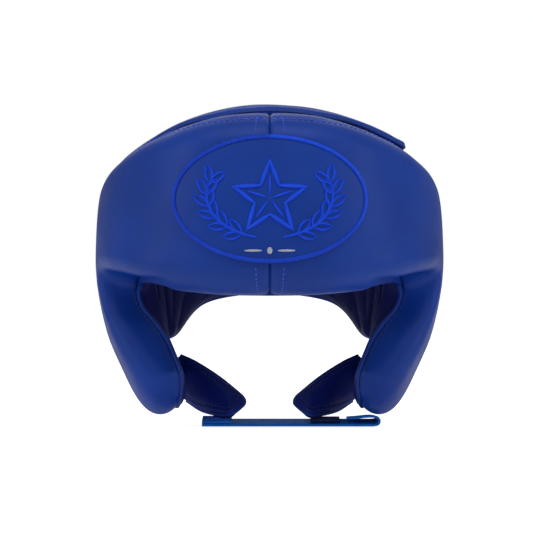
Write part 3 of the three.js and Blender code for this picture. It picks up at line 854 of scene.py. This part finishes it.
def oval(angle, grow=0.0):
    return (BADGE_HALF[0] + grow) * np.sin(angle), (BADGE_HALF[1] + grow) * np.cos(angle)


def badge_panel():
    angle = np.linspace(0, 2 * np.pi, 145)[:-1, None]
    reach = np.concatenate([[1, 0.997, 0.99, 0.98], np.linspace(0.96, 0.004, 40)])
    x, z = oval(angle)
    x, z = x * reach, z * reach
    edge = (1 - reach) * BADGE_HALF[1]
    rise = PANEL_THICK * quarter_round(edge / PANEL_THICK)
    top = on_brow(x, BADGE_Z + z, SEAM_GAP + rise)
    bottom = on_brow(x, BADGE_Z + z, 0.1 + 0 * rise)
    panel = solid_between("badge_panel_leather", top, bottom, OUTER, ring=True)
    on_body(panel, "shell", "leather_outer", "badge_panel")


def satin_strokes(name, strokes, material, height=1.1):
    """Raised satin stitching. A stroke is (x, z, width) arrays, measured from the badge's centre."""
    share = np.linspace(-1, 1, 9)
    dome = np.sqrt(np.clip(1 - share ** 2, 0, 1))
    points, quads, uvs, count = [], [], [], 0
    for x, z, width in strokes:
        line = np.stack([x, z], -1)
        ahead = unit(np.gradient(line, axis=0))
        across = np.stack([-ahead[:, 1], ahead[:, 0]], -1)
        flat = line[:, None] + across[:, None] * (share[None, :, None] * width[:, None, None] / 2)
        rise = height * np.clip(width / 2, 0.35, 1)[:, None] * dome
        top = on_brow(flat[..., 0], BADGE_Z + flat[..., 1], PANEL_TOP + rise)
        under = on_brow(flat[..., 0], BADGE_Z + flat[..., 1], PANEL_TOP - 0.5 + 0 * rise)
        for kept, part in zip((points, quads, uvs), closed_between(top, under)):
            kept.append(part)
        quads[-1] = quads[-1] + count
        count += len(points[-1])
    points, quads, uvs = (np.concatenate(parts) for parts in (points, quads, uvs))
    return to_object(name, points, quads.tolist(), material, uvs)


def taper(count, widest, ends=0.25):
    """Widths along a stroke that swells in its middle."""
    return widest * (ends + (1 - ends) * np.sin(np.linspace(0, np.pi, count)) ** 0.6)


def curve(start, end, bow, widest, count=24):
    """A stroke from one point to another, bowed sideways by a distance."""
    start, end = np.array(start, float), np.array(end, float)
    t = np.linspace(0, 1, count)[:, None]
    ahead = unit(end - start)
    line = start + (end - start) * t + np.array([-ahead[1], ahead[0]]) * bow * 4 * t * (1 - t)
    return line[:, 0], line[:, 1], taper(count, widest)


def star_strokes():
    """The outline of a five-pointed star, with a ridge from each tip towards its middle."""
    strokes, corners = [], []
    for k in range(10):
        reach = STAR_RADIUS * (STAR_NOTCH if k % 2 else 1)
        corners.append(reach * np.array([np.sin(k * np.pi / 5), np.cos(k * np.pi / 5)]))
    for a, b in zip(corners, corners[1:] + corners[:1]):
        over = 0.06 * (b - a)
        strokes.append(curve(a - over, b + over, 0, 2.9))
    return strokes + [curve(corner * 0.62, corner * 0.08, 0, STROKE) for corner in corners[::2]]


def laurel_strokes(side):
    """A branch that curves up beside the star, with pairs of outlined leaves."""
    turn = np.radians(np.linspace(168, 62, 60))
    stem = np.stack([side * LAUREL_REACH[0] * np.sin(turn), 2 + LAUREL_REACH[1] * np.cos(turn)], -1)
    strokes = [(*stem.T, taper(60, 2.2, 0.5))]
    for k in range(8, 60, 9):
        ahead = unit(stem[k + 1] - stem[k - 1])
        for way in (1, -1):
            lean = np.array([-ahead[1], ahead[0]]) * way
            tip = stem[k] + ahead * LEAF_AHEAD + lean * LEAF_LEAN
            strokes += [curve(stem[k], tip, bow, STROKE) for bow in (2.1, -2.1)]
    return strokes


def badge_embroidery():
    angle = np.linspace(0, 2 * np.pi, 241)
    x, z = oval(angle, -1.4)
    border = satin_strokes("badge_border_satin", [(x, z, np.full(241, 2.6))], SATIN, 1.0)
    on_body(border, "shell", "thread", "badge_border")
    strokes = star_strokes() + laurel_strokes(1) + laurel_strokes(-1)
    emblem = satin_strokes("badge_emblem_satin", strokes, SATIN)
    on_body(emblem, "shell", "thread", "badge_emblem")
    mark = [curve((-16, -33), (-5, -33), 0, 1.6), curve((5, -33), (16, -33), 0, 1.6)]
    mark += [curve((0, -35.2), (0, -30.8), 0, 3.4, 12)]
    on_body(satin_strokes("badge_pale_mark", mark, PALE_SATIN, 0.8), "shell", "thread")


# ---- Ear surrounds ----
SLIT_EDGE = rows_profile([
    (0, 97, 154), (0.2, 101, 149), (0.45, 104.5, 125), (0.7, 103, 100), (0.85, 100, 89), (1, 97.5, 84),
])
SURROUND_EDGE = rows_profile([
    (0, 95.5, 172), (0.2, 107, 167), (0.45, 113.5, 128), (0.7, 114, 86), (0.85, 107, 62), (1, 96.5, 52),
])
THIN_RIM = 8


def between_edges(first, second):
    """Azimuths and heights between two edges."""

    def place(along, across):
        a0, z0 = (value(along) for value in first)
        a1, z1 = (value(along) for value in second)
        return mix(a0, a1, across), mix(z0, z1, across)

    return place


surround = head_pad(between_edges(SLIT_EDGE, SURROUND_EDGE), 112, THIN_RIM / 2)


def fan_channels(along, across, edge, points):
    """Quilted channels that fan up and back from the jaw."""
    azimuth = np.degrees(np.arctan2(np.abs(points[..., 0]), -points[..., 1]))
    lean = np.degrees(np.arctan2(azimuth - 104, points[..., 2] - 24))
    ridge = np.abs(np.sin(np.radians(lean * 180 / 9)))
    return smoothstep(edge, 2, 8) * (1.5 * ridge ** 0.5 - 1.3)


def surround_pieces():
    surround.inflate()
    grids = surround.skins(70, 8, 9, None, fan_channels)
    for name, side in SIDES:
        skin, _ = pad_halves("ear_surround", name, side, "shell", grids)
        cord = edge_cord(f"ear_slit_piping_{name}", surround, side, "A", (0.02, 0.98), 1.1, 0.2)
        on_body(cord, "shell", "leather_outer")
        row = edge_row(surround, skin, side, 3.2, (0.05, 0.95), "A")
        on_body(stitches(f"ear_surround_stitches_{name}", [row], THREAD), "shell", "thread")


# ---- Rear wings ----
WING_TOP = rows_profile([(0, 115.5, 162), (0.3, 132, 168), (0.65, 155, 167), (1, 177, 163)])
WING_BOTTOM = rows_profile([(0, 116.5, 57), (0.3, 131, 62), (0.65, 152, 83), (1, 177, 91)])
HINGE_LEATHER = 1.4
HINGE_LEATHER_RUN = (109.5, 121.5)
HINGE_LEATHER_Z = (70, 159)
HINGE_LEATHER_WAIST = 8
WING_HINGE = (112.5, 119)  # azimuths of the hinge between ear surround and rear wing
wing = head_pad(between_edges(WING_BOTTOM, WING_TOP), 112, THIN_RIM, corner=6)


def off_strap(along, across):
    """1 on a wing where nothing lies on it and 0 under the rear strap, which presses it flat."""
    azimuth, z = between_edges(WING_BOTTOM, WING_TOP)(along, across)
    beside = smoothstep(azimuth, CLOSURE_RUN[0] - 1, CLOSURE_RUN[0] - 6)
    below = smoothstep(z, CLOSURE_Z[0] - 1, CLOSURE_Z[0] - 9)
    above = smoothstep(z, CLOSURE_Z[1] + 1, CLOSURE_Z[1] + 9)
    return np.maximum(np.maximum(below, above), beside)


def wing_relief(along, across, edge, points):
    row = -0.5 * bell(edge - 5, 1.3)
    crown_of_pad = 1.6 * smoothstep(edge, 6, 18) + lumps(points, 26, 0.6)
    return row + crown_of_pad * off_strap(along, across)


def wing_pieces():
    wing.inflate(free=off_strap)
    grids = wing.skins(70, 50, 12, wing_relief, fan_channels)
    for name, side in SIDES:
        body = f"rear_wing_{name}"
        skin, _ = pad_halves("rear_wing", name, side, body, grids)
        cord = edge_cord(f"rear_wing_piping_{name}", wing, side, "AEBS", (0, 1), 1.3, 0.3, True)
        on_body(cord, body, "leather_outer")
        row = edge_row(wing, skin, side, 5)
        on_body(stitches(f"rear_wing_stitches_{name}", [row], THREAD, closed=True), body, "thread")
        hinge_leather(name, side)


def wing_hinge_grids():
    """The outer and inner face of a sheet that lies on the padding and is narrower half way round."""
    (a0, a1), (z0, z1) = HINGE_LEATHER_RUN, HINGE_LEATHER_Z
    a = np.linspace(a0, a1, 24)[:, None]
    share = np.linspace(0, 1, 60)[None, :]
    narrow = HINGE_LEATHER_WAIST * np.sin(np.pi * (a - a0) / (a1 - a0))
    z = (z0 + z1) / 2 + (share - 0.5) * (z1 - z0 - 2 * narrow)
    from_side = from_edges(share) * (z1 - z0)
    from_end = np.radians(np.minimum(a - a0, a1 - a)) * head_radius(a, z)
    flat = HINGE_LEATHER / 2
    half = flat * (0.25 + 0.75 * quarter_round(np.minimum(from_side, from_end) / flat))
    middle = padding(a, z) - 0.2 + flat
    return on_head(a, z, middle + half), on_head(a, z, middle - half)


def close_stations(low, high, count, edge):
    """Stations between two values with extra ones just inside each end."""
    inner = np.linspace(low + edge, high - edge, count)
    near = edge * np.array([0, 0.15, 0.45])
    return np.concatenate([low + near, inner, high - near[::-1]])


def hinge_leather(name, side):
    """Thin leather over the gap between ear surround and rear wing."""
    strap = solid_on(f"wing_hinge_leather_{name}", side, *wing_hinge_grids(), OUTER)
    start, end = (mirror(on_head(azimuth, 118, 24), side) for azimuth in WING_HINGE)
    bend(strap, ("shell", f"rear_wing_{name}"), start, end, "leather_outer")


# ---- Rear closure ----
CLOSURE_Z = (104, 152)
CLOSURE_MIDDLE = sum(CLOSURE_Z) / 2
CLOSURE_RUN = (148, 206)
CLOSURE_CORNER = 9
SEWN_BOX = (195.5, 202, 114, 142)  # azimuths and heights of the box of stitches on the right wing
STRAP = 3.0
PATCH = 0.8
UNDER_STRAP = 2 * PATCH + 3 * GAP
CLOSURE_HINGE = (186.0, 194.0)  # azimuths of the strap's hinge


def closure_offset(azimuth):
    return mix(UNDER_STRAP, GAP, smoothstep(azimuth, 172, 190))


def closure():
    strap = solid_between("rear_strap_leather", *closure_grids(), OUTER)
    rows = [lay_on(strap, strap_row(inset)) for inset in (4, 7)]
    box = [lay_on(strap, on_padding(line, 5)) for line in box_and_cross(*SEWN_BOX, 0.6)]
    run = stitches("rear_strap_stitches", rows, THREAD, closed=True)
    sewn = stitches("rear_strap_box_stitches", box, THREAD)
    start, end = (on_head(azimuth, CLOSURE_MIDDLE, 20) for azimuth in reversed(CLOSURE_HINGE))
    for piece, slot in ((strap, "leather_outer"), (run, "thread"), (sewn, "thread")):
        bend(piece, ("rear_wing_right", "rear_closure"), start, end, slot)
    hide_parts("rear_strap_base", "rear_closure_strap")


def closure_grids():
    """The strap's outer and inner face, with round corners and a groove along its stitches."""
    a = close_stations(*CLOSURE_RUN, 70, 1.2)[:, None]
    share = close_stations(0, 1, 34, 0.03)[None, :]
    z = mix(*CLOSURE_Z, share)
    height = CLOSURE_Z[1] - CLOSURE_Z[0]
    from_end = np.radians(np.minimum(a - CLOSURE_RUN[0], CLOSURE_RUN[1] - a)) * (head_radius(a, z) + 20)
    pinch = CLOSURE_CORNER * (1 - quarter_round(from_end / CLOSURE_CORNER))
    z = CLOSURE_MIDDLE + (z - CLOSURE_MIDDLE) * (1 - 2 * pinch / height)
    inset = np.minimum(from_edges(share) * height, from_end)
    half = STRAP / 2 * (0.2 + 0.8 * quarter_round(inset / (STRAP / 2))) - 0.3 * bell(inset - 4, 1.1)
    middle = padding(a, z) + closure_offset(a) + STRAP / 2
    return on_head(a, z, middle + half), on_head(a, z, middle - half)


def on_padding(places, outward):
    """Points outside the padding, from rows of azimuth and height."""
    azimuth, z = places.T
    return on_head(azimuth, z, padding(azimuth, z) + outward)


def strap_row(inset):
    """A closed stitch row round the rear strap."""
    a0, a1 = CLOSURE_RUN[0] + inset / 2, CLOSURE_RUN[1] - inset / 2
    z0, z1 = CLOSURE_Z[0] + inset, CLOSURE_Z[1] - inset
    low, high = [(a0 + 3, z0), (a1 - 3, z0)], [(a1 - 3, z1), (a0 + 3, z1)]
    corners = low + [(a1, z0 + 5), (a1, z1 - 5)] + high + [(a0, z1 - 5), (a0, z0 + 5)] + low[:1]
    return on_padding(along_corners(corners, 0.6)[:-1], 6)


def along_corners(corners, step):
    """Points along straight lines between corners."""
    parts = []
    for a, b in zip(corners, corners[1:]):
        count = max(int(math.dist(a, b) / step), 2)
        parts.append(np.linspace(a, b, count, endpoint=False))
    return np.concatenate(parts + [np.array([corners[-1]], float)])


def box_and_cross(x0, x1, y0, y1, step):
    """Lines of points round a box and across it, as a strap's end is sewn down."""
    lines = [(x0, y0), (x1, y0), (x1, y1), (x0, y1), (x0, y0)], [(x0, y0), (x1, y1)], [(x0, y1), (x1, y0)]
    return [along_corners(line, step) for line in lines]


# ---- Crown flap ----
CROWN_ARCH = profile([
    (-111, 160), (-104, 173.5), (-84, 187.5), (-60, 200), (-30, 209.5), (0, 212), (30, 209.5), (60, 200.5),
    (91, 187.5),
])
CROWN_RUN = (-109.0, 91.0)
CROWN_HINGE = (-94.0, -79.0)  # x at the two ends of the flap's hinge
CROWN_FRONT = -66
CROWN_WIDTH = 82
CROWN_BOW = 34  # how far its edges bend back, 100 mm out from the middle
CROWN_SEWN_BOW = 14  # the same for the back edge on the sewn side
CROWN_TAPER = 45  # how much narrower the sewn side is there
CROWN_DROOP = 3.0  # how far its front and back edges curve down in the middle
CROWN_THICK = 6
LANDING_ARCH = profile([(56, 196.4), (70, 191.4), (84, 185.2), (93, 179), (101, 169), (106, 157)])
LANDING_RUN = (56.0, 106.0)
LANDING_WIDTH = (11.0, 71.0)  # behind the line of the flap's front edge
LANDING_THICK = 2.4


def crown_point(x, across, outward):
    """A point above the arch's underside, whose edges bow back towards the temples."""
    slope = CROWN_ARCH(x + 0.5) - CROWN_ARCH(x - 0.5)
    normal = unit(stacked(-slope, 0.0, 1.0))
    bow = (x / 100) ** 2
    width = CROWN_WIDTH - CROWN_TAPER * bow * (x < 0)
    back = CROWN_FRONT + CROWN_WIDTH + np.where(x < 0, CROWN_SEWN_BOW, CROWN_BOW) * bow
    y = back - width * (1 - across)
    droop = CROWN_DROOP * smoothstep(np.abs(x), 58, 30) * (2 * across - 1) ** 2
    base = stacked(x, y, CROWN_ARCH(x) - droop)
    return base + normal * np.asarray(outward)[..., None]


crown = Pad(
    lambda along, across, outward: crown_point(mix(*CROWN_RUN, along), across, outward),
    even_thickness(CROWN_THICK),
    CROWN_RUN[1] - CROWN_RUN[0], CROWN_THICK / 2, seam=0.5, corner=5,
)


def crown_relief(along, across, edge, points):
    return 1.1 * smoothstep(edge, 5, 14) - 0.5 * bell(edge - 5, 1.2) + lumps(points, 22, 0.4)


def crown_pieces():
    crown.inflate(40, 18, 1.2)
    outer, seam_out, seam_in, lining = crown.skins(110, 46, 8, crown_relief)
    skin = solid_between("crown_flap_leather", outer, seam_out, OUTER)
    inner = solid_between("crown_flap_inner", seam_in, lining, LINING)
    cord = edge_cord("crown_flap_piping", crown, 1, "AEBS", (0, 1), 1.2, 0.2, True)
    row = edge_row(crown, skin, 1, 5)
    run = stitches("crown_flap_stitches", [row], THREAD, closed=True)
    start, end = (crown_point(x, 0.5, 3.0) for x in CROWN_HINGE)
    bodies = ("shell", "crown_flap")
    bend(skin, bodies, start, end, "leather_outer", "crown_flap_cover", "crown_flap_padding", "crown_anchor")
    bend(inner, bodies, start, end, "leather_lining", "crown_flap_lining")
    bend(cord, bodies, start, end, "leather_outer")
    bend(run, bodies, start, end, "thread")
    crown_landing()


def crown_landing():
    """Leather from the ear surround's top to the loop patch that the flap's free end is pressed on to."""
    share = close_stations(0, 1, 40, 0.02)[:, None]
    across = close_stations(0, 1, 24, 0.03)[None, :]
    x = mix(*LANDING_RUN, share)
    edge = np.minimum(from_edges(share) / 0.02, from_edges(across) / 0.03)
    half = LANDING_THICK / 2 * (0.25 + 0.75 * quarter_round(edge))
    y = CROWN_FRONT + CROWN_BOW * (x / 100) ** 2 + mix(*LANDING_WIDTH, across)
    grids = [stacked(x, y, LANDING_ARCH(x) + way * half) for way in (1, -1)]
    piece = solid_between("crown_landing_leather", *grids, OUTER)
    on_body(piece, "shell", "leather_outer")


# ---- Chin tabs ----
TAB_BACK = rows_profile([(0, 66, 24, 46), (0.3, 53, 12, 41.5), (0.65, 34.5, -4, 32), (1, 15, -17, 19.5)])
TAB_FRONT = rows_profile([(0, 61, 9, 15), (0.3, 51, -7, 11), (0.65, 40, -21, 10), (1, 27, -34, 10.5)])
TAB_THICK = 8
TAB_LENGTH = 62
GUSSET_TOP = ((112, 66), (95, 56))
GUSSET_SEWN = 0.95
GUSSET_OFFSET = 6
GUSSET_THICK = 3


def space_edge(edge, share):
    return np.stack([value(share) for value in edge], -1)


def tab_point(along, across, outward):
    """A point on the tab's upper face, or below it by outward."""
    along, across, outward = np.broadcast_arrays(along, across, outward)
    step = 0.01
    middle = [
        (space_edge(TAB_BACK, share) + space_edge(TAB_FRONT, share)) / 2
        for share in (np.maximum(along - step, 0), np.minimum(along + step, 1))
    ]
    back, front = space_edge(TAB_BACK, along), space_edge(TAB_FRONT, along)
    down = unit(np.cross(front - back, middle[1] - middle[0]))
    return mix(back, front, across[..., None]) + down * outward[..., None]


tab = Pad(
    tab_point, even_thickness(TAB_THICK), TAB_LENGTH, TAB_THICK / 2, seam=0.5, starts_round=False, corner=6,
)


def tab_relief(along, across, edge, points):
    return 1.0 * smoothstep(edge, 3, 10) - 0.5 * bell(edge - 4, 1.2) + lumps(points, 18, 0.5)


def tab_pieces():
    tab.inflate(20, 14, 1.2)
    grids = tab.skins(50, 30, 9, tab_relief, tab_relief)
    for name, side in SIDES:
        body = f"chin_tab_{name}"
        skin, inner = pad_halves("chin_tab", name, side, body, grids, (CHIN, CHIN), "leather_lining")
        cord = edge_cord(f"chin_tab_piping_{name}", tab, side, "AEB", (0, 1), 1.2, 0.2)
        on_body(cord, body, "leather_outer")
        faces = ((skin, 1), (inner, -1))
        rows = [edge_row(tab, half, side, 4, (0.02, 1), "AEB", face) for half, face in faces]
        on_body(stitches(f"chin_tab_stitches_{name}", rows, DARK_THREAD, 2.4, 3.4, 0.36), body, "thread")
        gusset(name, side)


def gusset(name, side):
    """Leather that hangs the chin tab from the ear surround."""
    along = close_stations(0, 1, 20, 0.04)[:, None]
    across = close_stations(0, 1, 14, 0.06)[None, :]
    azimuth, z = (mix(GUSSET_TOP[0][k], GUSSET_TOP[1][k], across) for k in (0, 1))
    grids = []
    half = GUSSET_THICK / 2 * (0.3 + 0.7 * quarter_round(from_edges(across) / 0.06))
    root = mix(space_edge(TAB_BACK, 0.0), space_edge(TAB_FRONT, 0.0), (GUSSET_SEWN * across)[..., None])
    for way in (1, -1):
        outward = GUSSET_THICK / 2 + way * half
        top = on_head(azimuth, z, GUSSET_OFFSET + outward)
        low = root + stacked(outward + GAP, GAP, GAP)
        waist = 1.5 * np.sin(np.pi * along)[..., None] * np.array([0.7, 0, 0])
        grids.append(mix(top, low, along[..., None]) - waist)
    piece = solid_on(f"jaw_gusset_leather_{name}", side, grids[0], grids[1], CHIN)
    on_body(piece, f"chin_tab_{name}", "leather_lining", f"jaw_gusset_{name}")


# ---- Chin strap ----
WEB_Y = (-38.0, -16.0)
WEB_WIDTH = WEB_Y[1] - WEB_Y[0]
WEB_MIDDLE_Y = sum(WEB_Y) / 2
WEB_THICK = 2.0
WEB_TILT = 0.1  # its back edge lies higher, as the tabs do
WEB_RUN = (-46.0, 74.0)
WEB_HINGE = (-29.0, -20.0)  # x at the two ends of the webbing's hinge
WEB_SEWN_END = -25.0
WEB_PULL_START = 53.0


def web_path(points, count=24):
    """A smooth path through (x, z) points, at the middle of the webbing's width."""
    points = np.array(points, float)
    at = run_length(points)
    t = np.linspace(0, at[-1], count)
    x, z = (profile(list(zip(at, points[:, k])))(t) for k in (0, 1))
    return np.stack([x, np.full(count, WEB_MIDDLE_Y), z], -1)


def webbing_pieces():
    across = (0, 1, WEB_TILT)
    section = tape(WEB_WIDTH, WEB_THICK * 0.85)
    middle = WEB_THICK / 2 + WEB_WIDTH / 2 * WEB_TILT
    straight = web_path([(WEB_RUN[0], middle), (-10, middle), (30, middle), (WEB_RUN[1] - 3, middle)], 60)
    strap = sweep("chin_webbing", straight, section, WEBBING, across)
    start, end = ((x, WEB_MIDDLE_Y, middle) for x in WEB_HINGE)
    bend(strap, ("chin_tab_right", "chin_strap"), start, end, "webbing", "chin_strap")
    upper = web_path([(WEB_RUN[0], middle + WEB_THICK), (WEB_SEWN_END - 1, middle + WEB_THICK)], 12)
    sewn = sweep("chin_webbing_sewn_end", upper, section, WEBBING, across)
    on_body(sewn, "chin_tab_right", "webbing", "chin_strap_base")
    fold = [
        (WEB_RUN[1] - 4, middle), (WEB_RUN[1] - 0.6, middle + 0.6), (WEB_RUN[1], middle + 2.2),
        (WEB_RUN[1] - 1.4, middle + 3.9), (WEB_RUN[1] - 6, middle + 4.4), (WEB_PULL_START + 6, middle + 3.6),
        (WEB_PULL_START, middle + 3.2),
    ]
    pull = sweep("chin_webbing_folded_end", web_path(fold, 40), section, WEBBING, across)
    on_body(pull, "chin_strap", "webbing", "chin_strap_pull")
    box = stitches("chin_sewn_stitches", box_rows(sewn, upper[:, 0], 4), THREAD)
    on_body(box, "chin_tab_right", "thread")


def box_rows(piece, xs, inset):
    """A box and cross of stitches on top of the webbing's sewn end."""
    lines = box_and_cross(min(xs) + inset, max(xs) - inset, WEB_Y[0] + inset, WEB_Y[1] - inset, 1)
    return [lay_on(piece, np.insert(line, 2, 3 * WEB_THICK, axis=1)) for line in lines]


def chin_patches():
    """Hook and loop between the webbing and the tab on the wearer's left, as tilted as the webbing."""
    low = WEB_THICK + WEB_WIDTH / 2 * WEB_TILT
    section = tape(WEB_WIDTH - 4, PATCH * 0.85)
    for kind, body, material, height in (
        ("hook", "chin_strap", HOOKS, low + PATCH / 2), ("loop", "chin_tab_left", LOOPS, low + PATCH * 1.7),
    ):
        path = web_path([(28, height), (38, height), (48, height)], 12)
        patch = sweep(f"chin_{kind}_pile", path, section, material, (0, 1, WEB_TILT))
        on_body(patch, body, "hook_and_loop", f"chin_{kind}_patch")


def hook_and_loop():
    """The other patches keep their CAD shape and take a pile."""
    for name, material in (
        ("crown_hook_patch", HOOKS), ("crown_loop_patch", LOOPS), ("rear_hook_patch", HOOKS),
        ("rear_loop_patch", LOOPS),
    ):
        patch = nodes[name]
        patch.data.materials.clear()
        patch.data.materials.append(material)


# ---- Floor, light and camera ----
CAMERA_PLACE = (-0.0021, -1.2964, 0.109)
LENS = 125.5
LIGHTS = (  # name, place, aim, size, power
    ("top_light", (0.0, -0.55, 1.25), (0, 0, 0.12), (1.3, 0.8), 7.5),
    ("left_light", (-1.2, -0.5, 0.55), (0, 0, 0.1), (0.5, 0.9), 3.2),
    ("right_light", (1.2, -0.5, 0.55), (0, 0, 0.1), (0.5, 0.9), 3.2),
    ("back_light", (0.0, 1.3, 0.9), (0, 0, 0.1), (1.4, 0.7), 2.5),
)
FLOOR_REACH = 8
FLOOR_GAP = 0.0006
FLOOR_GLOW = (0.2, 0.85)  # on what it lights, and as the camera sees it
SKY = (0.28, 1.0)  # the same for the background


def floor():
    mesh = bpy.data.meshes.new("floor")
    corners = [(-1, -1), (1, -1), (1, 1), (-1, 1)]
    mesh.from_pydata([(FLOOR_REACH * x, FLOOR_REACH * y, 0) for x, y in corners], [], [(0, 1, 2, 3)])
    plane = linked("floor", mesh)
    plane.location.z = -FLOOR_GAP
    material = bpy.data.materials.new("floor")
    material.use_nodes = True
    tree = material.node_tree
    shader = tree.nodes["Principled BSDF"]
    shader.inputs["Base Color"].default_value = (0.86, 0.86, 0.87, 1)
    shader.inputs["Roughness"].default_value = 0.9
    shader.inputs["Emission Color"].default_value = (1, 1, 1, 1)
    path = tree.nodes.new("ShaderNodeLightPath")
    glow = tree.nodes.new("ShaderNodeMapRange")
    glow.inputs["To Min"].default_value, glow.inputs["To Max"].default_value = FLOOR_GLOW
    tree.links.new(path.outputs["Is Camera Ray"], glow.inputs["Value"])
    tree.links.new(glow.outputs[0], shader.inputs["Emission Strength"])
    mesh.materials.append(material)


def world():
    sky = bpy.data.worlds.new("studio")
    sky.use_nodes = True
    bpy.context.scene.world = sky
    tree = sky.node_tree
    tree.nodes.clear()
    output = tree.nodes.new("ShaderNodeOutputWorld")
    both = tree.nodes.new("ShaderNodeMixShader")
    path = tree.nodes.new("ShaderNodeLightPath")
    shades = []
    for strength in SKY:
        shade = tree.nodes.new("ShaderNodeBackground")
        shade.inputs["Color"].default_value = (1, 1, 1, 1)
        shade.inputs["Strength"].default_value = strength
        shades.append(shade)
    tree.links.new(path.outputs["Is Camera Ray"], both.inputs[0])
    tree.links.new(shades[0].outputs[0], both.inputs[1])
    tree.links.new(shades[1].outputs[0], both.inputs[2])
    tree.links.new(both.outputs[0], output.inputs["Surface"])


def softbox(name, place, aim, size, power):
    light = bpy.data.lights.new(name, "AREA")
    light.shape = "RECTANGLE"
    light.size, light.size_y = size
    light.energy = power
    obj = linked(name, light)
    obj.location = place
    obj.rotation_mode = "QUATERNION"
    obj.rotation_quaternion = (Vector(aim) - Vector(place)).to_track_quat("-Z", "Y")


def camera():
    lens = bpy.data.cameras.new("camera")
    lens.lens = LENS
    lens.sensor_width = 36
    lens.clip_start = 0.05
    obj = linked("camera", lens)
    obj.location = CAMERA_PLACE
    obj.rotation_euler = (math.pi / 2, 0, 0)
    bpy.context.scene.camera = obj


def studio():
    floor()
    world()
    for light in LIGHTS:
        softbox(*light)
    camera()
    bpy.context.scene.view_settings.view_transform = "Standard"


shell_pieces()
badge_panel()
badge_embroidery()
surround_pieces()
wing_pieces()
closure()
crown_pieces()
tab_pieces()
webbing_pieces()
chin_patches()
hook_and_loop()
studio()
